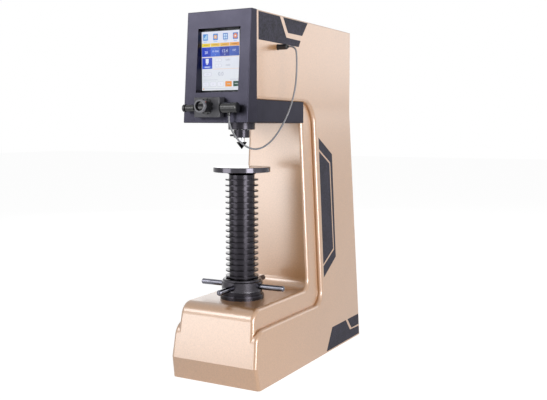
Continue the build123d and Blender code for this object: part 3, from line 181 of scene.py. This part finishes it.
cable_curve = bpy.data.curves.new("signal_lead", "CURVE")
cable_curve.dimensions = "3D"
cable_curve.bevel_depth = CABLE_DIAMETER / 2
cable_curve.bevel_resolution = 6
cable_curve.resolution_u = 16
cable_spline = cable_curve.splines.new("NURBS")
cable_spline.points.add(len(CABLE_ROUTE) - 1)
cable_spline.points.foreach_set("co", np.column_stack([CABLE_ROUTE, np.ones(len(CABLE_ROUTE))]).ravel())
cable_spline.order_u = 3
cable_spline.use_endpoint_u = True
cable = bpy.data.objects.new("signal_lead", cable_curve)
scene.collection.objects.link(cable)
cable_curve.materials.append(moulded("grey_jacket", JACKET_GREY, 0.30).material)
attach(cable, "frame")
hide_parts("signal_cable")


# ---- Casting and rear cover ----
# One hollow iron casting, ground smooth and sprayed with champagne metallic under a satin clear coat; the
# sheet cover behind it has the same paint and zinc-plated screws. Fine flake glints in the base coat, and
# the coat has a trace of orange peel.
def dress(finish, *names):
    """Gives CAD nodes a finish."""
    for name in names:
        nodes[name].data.materials.clear()
        nodes[name].data.materials.append(finish.material)


CHAMPAGNE = (0.53, 0.275, 0.118)
CHAMPAGNE_SHADE = (0.42, 0.212, 0.088)
ORANGE_PEEL_DEPTH = 0.00004


def metallic_paint(name, base, shade):
    """Flake and its clusters in the base coat, slow drifts of tone, and a clear coat over them."""
    finish = Finish(name)
    flake = finish.noise(1100.0)
    cluster = finish.noise(330.0, detail=3.0)
    drift = finish.noise(5.0)
    mixed = finish.ramp(flake * 0.4 + cluster * 0.45 + drift * 0.15, low=0.40, high=0.60)
    finish.set(Base_Color=finish.tint(mixed, shade, base), Metallic=0.1, Specular_IOR_Level=0.3)
    finish.set(Roughness=flake * 0.16 + 0.34, Coat_Weight=1.0, Coat_Roughness=0.28, Coat_IOR=2.4)
    return finish.bump(finish.noise(260.0), ORANGE_PEEL_DEPTH)


dress(metallic_paint("champagne_paint", CHAMPAGNE, CHAMPAGNE_SHADE), "housing", "rear_cover")


# ---- Side inlays ----
# Coarse-grained graphite film, cut to the outlines of the shallow panels that are cast into both sides.
def powder_coat(name, base, roughness, grain, depth, gloss=0.5, metal=0.0, edge=1.0, shade=0.62):
    """Baked powder: fine wrinkle in colour, gloss and surface; its metal flake dims towards the edge."""
    finish = Finish(name)
    wrinkle = finish.noise(grain, detail=3.0)
    cloud = finish.noise(30.0)
    dark = darker(base, shade)
    worn = finish.ramp(wrinkle + cloud * 0.3, low=0.52, high=0.80)
    finish.set(Base_Color=finish.tint(worn, dark, base))
    finish.set(Roughness=wrinkle * 0.2 + (roughness - 0.1), Specular_IOR_Level=gloss)
    finish.set(Metallic=metal, Specular_Tint=(edge, edge, edge))
    return finish.bump(wrinkle, depth)


inlay_film = powder_coat(
    "grained_film", (0.037, 0.034, 0.056), 0.55, grain=300.0, depth=0.00018, gloss=0.2, shade=0.3,
)
dress(inlay_film, "side_inlays_left", "side_inlays_right")


# ---- Head bezel and lower casing ----
# Folded steel in dark graphite powder coat, whose fine wrinkle shows in raking light. The bezel is screwed
# on from inside, the casing hangs from the head's underside.
FINE_GRAIN = 1500.0
WRINKLE_DEPTH = 0.00002

bezel_coat = powder_coat(
    "bezel_graphite", (0.053, 0.051, 0.070), 0.33, FINE_GRAIN, WRINKLE_DEPTH, metal=1.0, edge=0.55,
)
casing_coat = powder_coat(
    "casing_graphite", (0.042, 0.040, 0.058), 0.40, FINE_GRAIN, WRINKLE_DEPTH, metal=1.0, edge=0.75,
)
dress(bezel_coat, "front_bezel")
dress(casing_coat, "head_casing")


# ---- Touch screen ----
# A colour panel behind an anti-glare cover glass that is set back in the bezel. The picture is a set of
# thin glowing plates, one piece for each colour, in layers between the panel and the glass; the figures are
# plain numbers, each made a mesh and stood upright. A type size is SIZE_PER_HEIGHT times their height.
def rest_box(name):
    """The low and the high corner of a CAD node at rest."""
    corners = np.array(nodes[name].bound_box)
    return corners.min(axis=0).tolist(), corners.max(axis=0).tolist()


# The lit area leaves a dark margin on the panel: at the left, at the right, and above and below.
DARK_LEFT, DARK_RIGHT, DARK_END = 0.003, 0.013, 0.008
FIRST_LAYER = 0.00007
LAYER = 0.00010
PLATE_THICKNESS = 0.00005
PLATE_CORNER_STEPS = 6
FULLEST_ROUNDING = 0.49
SIZE_PER_HEIGHT = 1.4
BLACK = (0.0, 0.0, 0.0)

panel_low, panel_high = rest_box("screen_panel")
SCREEN_LEFT, SCREEN_BOTTOM = panel_low[0] + DARK_LEFT, panel_low[2] + DARK_END
SCREEN_WIDTH = panel_high[0] - DARK_RIGHT - SCREEN_LEFT
SCREEN_HEIGHT = panel_high[2] - DARK_END - SCREEN_BOTTOM
SCREEN_Y = panel_low[1] - FIRST_LAYER

cover_glass = Finish("cover_glass")
cover_glass.set(Base_Color=cover_glass.tint(cover_glass.noise(25.0), (0.97, 0.98, 1.0), (0.93, 0.95, 0.98)))
cover_glass.set(Roughness=cover_glass.noise(300.0) * 0.02 + 0.02, Transmission_Weight=1.0, IOR=1.07)
dress(cover_glass, "screen_glass")
dress(moulded("panel_mask", (0.006, 0.006, 0.007), 0.5), "screen_panel")


def glow(name, first, second, letter="X"):
    """A lit colour from the first to the second, across or up the screen, dimmed by a pixel grain."""
    finish = Finish(name)
    low, span = (SCREEN_LEFT, SCREEN_WIDTH) if letter == "X" else (SCREEN_BOTTOM, SCREEN_HEIGHT)
    blend = finish.ramp(finish.axis(letter), low, low + span)
    shade = finish.tint(blend, first, second)
    finish.set(Emission_Color=finish.tint(finish.noise(4000.0) * 0.2, shade, BLACK))
    return finish.set(Base_Color=(0.01, 0.01, 0.01), Roughness=0.6, Emission_Strength=1.0)


def lit_piece(name, points, faces, finish):
    """A piece of the picture, which rides on the frame with the panel."""
    mesh = bpy.data.meshes.new(name)
    mesh.from_pydata(points, [], faces)
    mesh.materials.append(finish.material)
    piece = bpy.data.objects.new(name, mesh)
    scene.collection.objects.link(piece)
    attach(piece, "frame")


def plates(name, finish, layer, boxes, rounding=0.0010):
    """Thin plates with rounded corners: rows of left, right, bottom and top in hundredths of the lit area.

    Each outline turns once round: a point is the box's middle, plus half its size less the rounding towards
    the corner of that quarter, plus the rounding times the cosine and the sine. It is laid twice, front and
    back.
    """
    left, right, bottom, top = (np.array(boxes, float) / 100).T[:, :, None]
    wide, tall = (right - left) * SCREEN_WIDTH, (top - bottom) * SCREEN_HEIGHT
    steps = 4 * PLATE_CORNER_STEPS
    turn = 2 * np.pi * (np.arange(steps) + 0.5) / steps
    radius = np.minimum(rounding, FULLEST_ROUNDING * np.minimum(wide, tall))
    x = SCREEN_LEFT + (left + right) / 2 * SCREEN_WIDTH + radius * np.cos(turn)
    x = x + np.sign(np.cos(turn)) * (wide / 2 - radius)
    z = SCREEN_BOTTOM + (bottom + top) / 2 * SCREEN_HEIGHT + radius * np.sin(turn)
    z = z + np.sign(np.sin(turn)) * (tall / 2 - radius)
    front = SCREEN_Y - layer * LAYER
    rings = [np.stack([x, np.full_like(x, y), z], axis=-1) for y in (front, front + PLATE_THICKNESS)]
    points = np.stack(rings, axis=1).reshape(-1, 3)
    first = 2 * steps * np.arange(len(boxes))[:, None]
    step = np.arange(steps)
    here, onward = first + step, first + (step + 1) % steps
    fronts, backs = here, here[:, ::-1] + steps
    walls = np.stack([here, here + steps, onward + steps, onward], axis=-1).reshape(-1, 4)
    lit_piece(name, points.tolist(), fronts.tolist() + backs.tolist() + walls.tolist(), finish)


def figures(name, finish, layer, words):
    """Plain numbers: rows of text, middle across, middle up and height, the last three in hundredths."""
    points, faces = [], []
    for text, across, up, height in words:
        curve = bpy.data.curves.new(name, "FONT")
        curve.body = text
        curve.align_x, curve.align_y = "CENTER", "CENTER"
        curve.size = height / 100 * SCREEN_HEIGHT * SIZE_PER_HEIGHT
        curve.extrude = PLATE_THICKNESS / 2
        writer = bpy.data.objects.new(name, curve)
        mesh = bpy.data.meshes.new_from_object(writer)
        flat = np.empty(3 * len(mesh.vertices))
        mesh.vertices.foreach_get("co", flat)
        flat = flat.reshape(-1, 3)
        x = SCREEN_LEFT + across / 100 * SCREEN_WIDTH + flat[:, 0]
        z = SCREEN_BOTTOM + up / 100 * SCREEN_HEIGHT + flat[:, 1]
        base = len(points)
        points += np.column_stack([x, SCREEN_Y - layer * LAYER - flat[:, 2], z]).tolist()
        faces += [[base + corner for corner in face.vertices] for face in mesh.polygons]
        bpy.data.meshes.remove(mesh)
        bpy.data.objects.remove(writer)
    lit_piece(name, points, faces, finish)


pale_field = glow("pale_field", (0.84, 0.86, 0.88), (0.83, 0.84, 0.95), "Z")
deep_blue = glow("deep_blue", (0.020, 0.06, 0.62), (0.030, 0.045, 0.22))
plates("screen_field", pale_field, 0, [(0, 100, 0, 100)], rounding=0.0004)
plates("screen_icon_tiles", glow("icon_blue", (0.10, 0.33, 0.78), (0.10, 0.20, 0.55)), 1, [
    (4, 17, 85, 96), (30.5, 43.5, 85, 96), (57, 70, 85, 96), (83, 96, 85, 96),
])
plates("screen_icon_marks", glow("icon_white", (0.55, 0.80, 0.92), (0.60, 0.70, 0.90)), 2, [
    (6, 8.5, 87, 90), (9.3, 11.8, 87, 92.5), (12.6, 15.1, 87, 94.5),
    (59, 63, 91.2, 94.5), (64, 68, 91.2, 94.5), (59, 63, 86.8, 90.1), (64, 68, 86.8, 90.1),
], rounding=0.0004)
plates("screen_icon_discs", glow("icon_orange", (0.90, 0.58, 0.20), (0.85, 0.25, 0.10)), 2, [
    (32.5, 41.5, 87, 94), (84.5, 94.5, 86.2, 94.8),
], rounding=0.0060)
plates("screen_icon_centres", pale_field, 3, [
    (35.5, 38.5, 89.3, 91.7), (87.7, 91.3, 89, 92),
], rounding=0.0060)
plates("screen_captions", glow("caption_blue", (0.25, 0.60, 0.90), (0.25, 0.45, 0.85)), 1, [
    (6, 15, 82.2, 83.2), (32, 42, 82.2, 83.2), (59, 68, 82.2, 83.2), (85, 94, 82.2, 83.2),
], rounding=0.0003)
plates("screen_tabs", glow("tab_yellow", (0.92, 0.72, 0.05), (0.88, 0.36, 0.10)), 1, [
    (0.5, 23.5, 74.2, 80), (24.5, 48.5, 74.2, 80), (49.5, 73.5, 74.2, 80), (74.5, 99.5, 74.2, 80),
], rounding=0.0003)
plates("screen_tab_words", glow("tab_brown", (0.55, 0.38, 0.06), (0.55, 0.20, 0.06)), 2, [
    (6, 18, 76.6, 77.8), (30, 43, 76.6, 77.8), (55, 68, 76.6, 77.8), (80, 94, 76.6, 77.8),
], rounding=0.0003)
plates("screen_blue_band", deep_blue, 1, [
    (0.5, 99.5, 57.5, 73.6), (1, 28, 37, 55.6),
], rounding=0.0004)
plates("screen_blue_steps", glow("lighter_blue", (0.06, 0.18, 0.80), (0.07, 0.12, 0.42)), 2, [
    (24.3, 48.6, 58, 73), (73.6, 99, 58, 73), (3, 26, 38.5, 41.5),
], rounding=0.0004)
figures("screen_white_figures", glow("figure_white", (0.80, 0.86, 0.98), (0.72, 0.76, 0.86)), 3, [
    ("20", 12, 64.5, 4.6), ("10 3000", 36.5, 66, 3.0), ("12.4", 61.5, 66, 5.0), ("187", 86, 66.5, 3.6),
    ("1", 36.5, 60.3, 2.0), ("02", 61.5, 60.3, 2.0),
])
plates("screen_indenter_sign", glow("sign_white", (0.88, 0.92, 1.0), (0.80, 0.82, 0.90)), 3, [
    (10.5, 18.5, 46.5, 54), (12, 17, 44.4, 46.3), (7.5, 21.5, 39.4, 40.6),
], rounding=0.0007)
plates("screen_ruling", glow("ruling_orange", (0.95, 0.62, 0.42), (0.93, 0.66, 0.52)), 1, [
    (0.5, 99.5, 56, 56.5), (29, 99.5, 35.9, 36.5), (99, 99.6, 0.5, 56),
], rounding=0.0002)
plates("screen_boxes", glow("box_grey", (0.66, 0.68, 0.76), (0.64, 0.64, 0.72)), 1, [
    (36, 53, 48.4, 53.6), (36, 53, 39.4, 44.6), (4, 26, 24.4, 30.6), (75, 98, 17.5, 18.6),
    (4, 42, 17.6, 18.4), (1.5, 18.5, 6.3, 14.7), (21.5, 38.5, 6.3, 14.7), (41.5, 58.5, 6.3, 14.7),
    (2, 98, 2.6, 3.6),
], rounding=0.0022)
plates("screen_box_faces", glow("box_white", (0.90, 0.90, 0.97), (0.88, 0.88, 0.93)), 2, [
    (36.8, 52.2, 48.9, 53.1), (36.8, 52.2, 39.9, 44.1), (4.8, 25.2, 24.9, 30.1),
    (2.1, 17.9, 6.8, 14.2), (22.1, 37.9, 6.8, 14.2), (42.1, 57.9, 6.8, 14.2),
], rounding=0.0020)
figures("screen_grey_figures", glow("figure_grey", (0.42, 0.46, 0.58), (0.50, 0.52, 0.60)), 3, [
    ("1", 44.5, 51, 2.6), ("2", 44.5, 42, 2.6), ("0.800", 70, 51, 3.0), ("0.800", 70, 42, 3.0),
    ("15", 15, 27.5, 2.6), ("0.0", 51, 27.5, 6.4),
    ("1", 10, 10.5, 2.4), ("2", 30, 10.5, 2.4), ("3", 50, 10.5, 2.4),
])
plates("screen_orange_key", glow("key_orange", (0.95, 0.36, 0.05), (0.92, 0.32, 0.05)), 2, [
    (62.5, 79.5, 6, 15), (3, 5.4, 1.6, 3.8),
], rounding=0.0008)
plates("screen_green_key", glow("key_green", (0.02, 0.10, 0.05), (0.015, 0.075, 0.045)), 2, [
    (83.5, 99, 6, 15),
])
plates("screen_key_marks", glow("key_mark", (0.60, 0.62, 0.60), (0.55, 0.62, 0.60)), 3, [
    (67, 75, 10, 11.2), (87, 95.5, 10, 11.2),
], rounding=0.0003)


# ---- Elevating screw, anvil and capstan ----
# Turned steel in black oxide with a film of oil: fine tool rings run round each part, and high spots are
# polished. The anvil's disc is ground on top, and the capstan's hub turns in the flange on the base.
EVEN = (1.0, 1.0, 1.0)
OILED_DEPTH = 0.000001


def turned_steel(name, base, roughness, rings=(1.0, 1.0, 40.0), depth=0.000004):
    """Bare or blackened metal: tool marks drawn out round the part, stains in its tone and its gloss."""
    finish = Finish(name)
    marks = finish.noise(120.0, detail=3.0, stretch=rings)
    stain = finish.noise(45.0, detail=3.0)
    dark = darker(base, 0.6)
    bright = finish.ramp(stain + marks * 0.4, low=0.5, high=0.95)
    finish.set(Base_Color=finish.tint(bright, dark, base), Metallic=1.0)
    finish.set(Roughness=marks * 0.12 + stain * 0.08 + (roughness - 0.1))
    return finish.bump(marks, depth)


black_steel = turned_steel("blackened_steel", (0.040, 0.037, 0.044), 0.25, depth=OILED_DEPTH)
dress(black_steel, "elevating_screw", "guide_flange")
dress(turned_steel("hub_steel", (0.085, 0.080, 0.092), 0.27, depth=OILED_DEPTH), "capstan_hub")
anvil_steel = turned_steel("ground_black_steel", (0.090, 0.085, 0.10), 0.14, rings=EVEN, depth=OILED_DEPTH)
dress(anvil_steel, "anvil")
dress(turned_steel("guide_key_steel", (0.50, 0.50, 0.53), 0.24), "guide_key")


# ---- Capstan rods ----
# Four polished rods with domed tips, screwed into the hub.
dress(turned_steel("polished_rods", (0.17, 0.17, 0.20), 0.14, rings=(40.0, 40.0, 40.0)), "capstan_rods")


# ---- Nose, chuck and indenter ----
# The nose ring closes the head's mouth round the spindle. The chuck grips the bright shank with its clamp
# screw, and the shank carries the black cone that presses into the specimen.
nose_black = turned_steel("nose_black", (0.046, 0.043, 0.052), 0.26, depth=OILED_DEPTH)
dress(nose_black, "nose_ring", "indenter_chuck", "clamp_screw")
dress(turned_steel("cone_black", (0.010, 0.010, 0.011), 0.42), "indenter_cone")
dress(turned_steel("bright_shank", (0.66, 0.66, 0.69), 0.16), "indenter_shank")


# ---- Load drive ----
# Behind the bezel the motor turns a ball screw by a toothed belt, and the crosshead pushes the spindle down
# through the load cell. Ground steel, a bronze bush and milled alloy plates.
drive_steel = turned_steel("ground_steel", (0.60, 0.60, 0.63), 0.2)
dress(drive_steel, "spindle", "crosshead", "ball_screw", "ball_nut", "thrust_bearing", "screw_bearing")
dress(turned_steel("hardened_rods", (0.66, 0.66, 0.68), 0.12), "guide_rods")
dress(turned_steel("bearing_bronze", (0.50, 0.33, 0.14), 0.3), "spindle_bush")
milled_alloy = turned_steel("milled_alloy", (0.62, 0.63, 0.65), 0.34, rings=(1.0, 20.0, 1.0))
dress(milled_alloy, "load_cell", "drive_plate")
dress(turned_steel("turned_alloy", (0.64, 0.64, 0.66), 0.28), "screw_pulley", "motor_pulley")
dress(moulded("belt_rubber", (0.018, 0.018, 0.019), 0.7, grain=1600.0), "drive_belt")
motor_black = powder_coat("motor_black", (0.018, 0.018, 0.020), 0.45, grain=1200.0, depth=WRINKLE_DEPTH)
dress(motor_black, "drive_motor")


# ---- Measuring eyepiece ----
# A satin grey block carries the tube and its notched locking ring, the focusing ocular, the zero knob at
# the left and the measuring drum at the right. The ocular's face is bare grey round its bore, which is
# painted near-black: a black finish deepened with painted shade of the hole.
OCULAR_BORE = 0.0092
BORE_EDGE = (OCULAR_BORE + 0.0001, OCULAR_BORE + 0.0004)

ocular_low, ocular_high = rest_box("ocular_ring")
EYE_X, EYE_Z = (ocular_low[0] + ocular_high[0]) / 2, (ocular_low[2] + ocular_high[2]) / 2

block_grey = powder_coat("block_grey", (0.062, 0.061, 0.072), 0.40, FINE_GRAIN, depth=0.00001, gloss=0.45)
dress(block_grey, "eyepiece_block")
satin_black = powder_coat(
    "satin_black", (0.009, 0.009, 0.011), 0.27, FINE_GRAIN, depth=0.000006, gloss=0.55,
)
dress(satin_black, "eyepiece_barrel", "drum_body", "drum_cap", "cable_gland", "zero_knob")

ocular = Finish("ocular_grey")
across, up = ocular.axis("X") - EYE_X, ocular.axis("Z") - EYE_Z
# Within the bore's edge the colour drops to near-black: black finish plus painted shade of the deep hole.
outside = ocular.ramp(across * across + up * up, BORE_EDGE[0] ** 2, BORE_EDGE[1] ** 2)
ocular.set(Base_Color=ocular.tint(outside, (0.004, 0.004, 0.004), (0.17, 0.17, 0.19)))
ocular.set(Roughness=ocular.noise(FINE_GRAIN) * 0.2 + 0.3)
dress(ocular.bump(ocular.noise(FINE_GRAIN), 0.00001), "ocular_ring")

# The lens is opaque and near-black: painted shade standing in for the dark tube behind the glass, under the
# glass's own gloss.
lens_painted_dark = Finish("lens_painted_dark")
lens_dark_tone = lens_painted_dark.tint(lens_painted_dark.noise(60.0), (0.004, 0.004, 0.007), (0.007, 0.006, 0.010))
lens_painted_dark.set(Base_Color=lens_dark_tone)
lens_painted_dark.set(Roughness=lens_painted_dark.noise(80.0) * 0.04 + 0.10, Specular_IOR_Level=0.35)
dress(lens_painted_dark, "eye_lens")

line_glass = Finish("line_glass")
line_glass.set(Base_Color=line_glass.tint(line_glass.noise(60.0), (0.93, 0.96, 0.98), (0.97, 0.98, 1.0)))
line_glass.set(Roughness=line_glass.noise(300.0) * 0.02 + 0.02, Transmission_Weight=1.0, IOR=1.45)
dress(line_glass, "zero_line_plate", "measuring_line_plate")


# ---- Index dot ----
# A dab of red enamel on the tube just behind the ocular, from which the focus is read.
DOT_RADIUS = 0.0016
DOT_HEIGHT = 0.00025
DOT_FROM_TUBE_END = 0.00395
DOT_ANGLE = math.radians(47)
DOT_RIM_DEPTH = 0.0001
DOT_BACK_DEPTH = 0.0003
DOT_RINGS = 6
DOT_SPOKES = 32
TUBE_RADIUS = 0.0119

# A disc of rings and spokes is bent round the tube; its height falls from the middle as one less the square
# of the ring's share, to just under the tube's skin at its rim, and a second layer below closes it.
ring_shares = np.linspace(0.0, 1.0, DOT_RINGS + 1)[1:]
spoke_angles = np.linspace(0, 2 * np.pi, DOT_SPOKES, endpoint=False)
share, spoke = np.meshgrid(ring_shares, spoke_angles, indexing="ij")
dome = np.concatenate([[1.0], (1 - share ** 2).ravel()])
along = np.concatenate([[0.0], (share * np.cos(spoke)).ravel()]) * DOT_RADIUS
around = np.concatenate([[0.0], (share * np.sin(spoke)).ravel()]) * DOT_RADIUS / TUBE_RADIUS + DOT_ANGLE
dot_y = rest_box("eyepiece_barrel")[0][1] + DOT_FROM_TUBE_END + along
dot_points = []
dot_front = TUBE_RADIUS - DOT_RIM_DEPTH + DOT_HEIGHT * dome
dot_back = np.full_like(dome, TUBE_RADIUS - DOT_BACK_DEPTH)
for height in (dot_front, dot_back):
    x, z = EYE_X + height * np.cos(around), EYE_Z + height * np.sin(around)
    dot_points.append(np.column_stack([x, dot_y, z]))
below = len(dome)
ring, step = np.meshgrid(np.arange(DOT_RINGS - 1), np.arange(DOT_SPOKES), indexing="ij")
inner, outer, onward = 1 + DOT_SPOKES * ring, 1 + DOT_SPOKES * (ring + 1), (step + 1) % DOT_SPOKES
skin = np.stack([inner + step, inner + onward, outer + onward, outer + step], axis=-1).reshape(-1, 4)
middle = np.stack([0 * step[0], 1 + onward[0], 1 + step[0]], axis=-1)
rim = outer[-1, 0] + np.stack([step[0], onward[0], onward[0] + below, step[0] + below], axis=-1)
dot_faces = []
for faces in (skin, middle, skin[:, ::-1] + below, middle[:, ::-1] + below, rim):
    dot_faces += faces.tolist()
dot_mesh = bpy.data.meshes.new("index_dot")
dot_mesh.from_pydata(np.concatenate(dot_points).tolist(), [], dot_faces)
red_enamel = moulded("red_enamel", (0.55, 0.06, 0.03), 0.3, grain=2500.0, depth=0.000005)
dot_mesh.materials.append(red_enamel.material)
index_dot = bpy.data.objects.new("index_dot", dot_mesh)
scene.collection.objects.link(index_dot)
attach(index_dot, "frame")


# ---- Plugs, switch and feet ----
# Moulded parts: the round cable plug in its socket on the head's side, the mains inlet with brass pins and
# the rocker switch low on the rear cover, and four rubber pads under the base.
plug_black = moulded("plug_black", (0.012, 0.012, 0.013), 0.4)
dress(plug_black, "cable_plug", "plug_socket", "mains_inlet", "power_switch", "power_rocker")
dress(turned_steel("pin_brass", (0.62, 0.44, 0.16), 0.25), "inlet_pins")
dress(moulded("pad_rubber", (0.020, 0.020, 0.020), 0.8, grain=700.0, depth=0.00005), "rubber_pads")


# ---- Electronics ----
# The control board stands on spacers behind the rear cover, over the power supply in its folded zinc case.
dress(moulded("board_green", (0.03, 0.16, 0.07), 0.4), "control_board")
zinc = turned_steel("zinc_plate", (0.58, 0.59, 0.62), 0.3, rings=EVEN)
dress(zinc, "board_spacers", "power_supply", "rear_cover_screws")


# ---- Studio ----
# A white room: a pale floor that keeps a faint shadow, and six softboxes, none of which is in the picture.
# The floor's own glow and most of the surround's show only to the eye, in gloss and through glass.
def softbox(name, place, aim, width, height, radiance):
    """A rectangular lamp turned to face its aim; its power is radiance times pi times its area."""
    lamp = bpy.data.lights.new(name, "AREA")
    lamp.shape = "RECTANGLE"
    lamp.size, lamp.size_y, lamp.energy = width, height, radiance * math.pi * width * height
    rig = bpy.data.objects.new(name, lamp)
    rig.location = place
    rig.visible_camera = False
    x, y, z = np.subtract(aim, place)
    rig.rotation_euler = (math.atan2(math.hypot(x, y), -z), 0.0, math.atan2(-x, y))
    scene.collection.objects.link(rig)


softbox("front_softbox", (-1.40, -2.45, 0.25), (0.0, -0.2, 0.20), 1.7, 0.48, radiance=4.2)
softbox("upper_softbox", (-1.25, -2.20, 1.55), (0.0, -0.2, 0.60), 1.2, 0.8, radiance=5.4)
softbox("side_softbox", (2.6, 0.10, 0.85), (0.1, -0.1, 0.45), 2.2, 1.4, radiance=0.5)
softbox("edge_softbox", (2.15, -1.20, 0.60), (0.0, 0.0, 0.35), 1.15, 1.15, radiance=9.5)
softbox("rear_softbox", (1.6, 3.0, 1.40), (0.1, 0.1, 0.45), 1.6, 1.4, radiance=1.1)
softbox("back_softbox", (-1.75, 2.6, 0.85), (0.0, 0.0, 0.30), 1.6, 0.9, radiance=1.0)


def seen(finish):
    """1 for the eye's own rays and for those by gloss or through glass, else 0."""
    kinds = ("Camera", "Glossy", "Transmission")
    rays = [finish.node("ShaderNodeLightPath", output=f"Is {kind} Ray") for kind in kinds]
    return (rays[0] + rays[1] + rays[2]).maths("MINIMUM", 1.0)


FLOOR_REACH = 12.0
FLOOR_TONE = (0.82, 0.82, 0.82)
FLOOR_TONE_SEEN = (0.30, 0.30, 0.30)
FLOOR_GLOW_SEEN = (0.945, 0.945, 0.945)

floor_mesh = bpy.data.meshes.new("studio_floor")
floor_corners = FLOOR_REACH * np.array([(-1, -1, 0), (1, -1, 0), (1, 1, 0), (-1, 1, 0)])
floor_mesh.from_pydata(floor_corners.tolist(), [], [(0, 1, 2, 3)])
floor = bpy.data.objects.new("studio_floor", floor_mesh)
scene.collection.objects.link(floor)
pale_floor = Finish("pale_floor")
visible = seen(pale_floor)
pale_floor.set(Base_Color=pale_floor.tint(visible, FLOOR_TONE, FLOOR_TONE_SEEN), Roughness=1.0)
pale_floor.set(Emission_Color=pale_floor.tint(visible, BLACK, FLOOR_GLOW_SEEN))
pale_floor.set(Emission_Strength=1.0, Specular_IOR_Level=0.0)
floor_mesh.materials.append(pale_floor.material)

WORLD_ON_SURFACES = 0.10
world = bpy.data.worlds.new("white_room")
scene.world = world
world.use_nodes = True
surround = Finish("white_room", world)
strength = seen(surround) * (1.0 - WORLD_ON_SURFACES) + WORLD_ON_SURFACES
background = world.node_tree.nodes["Background"]
background.inputs["Color"].default_value = (1.0, 1.0, 1.0, 1.0)
world.node_tree.links.new(strength.socket, background.inputs["Strength"])
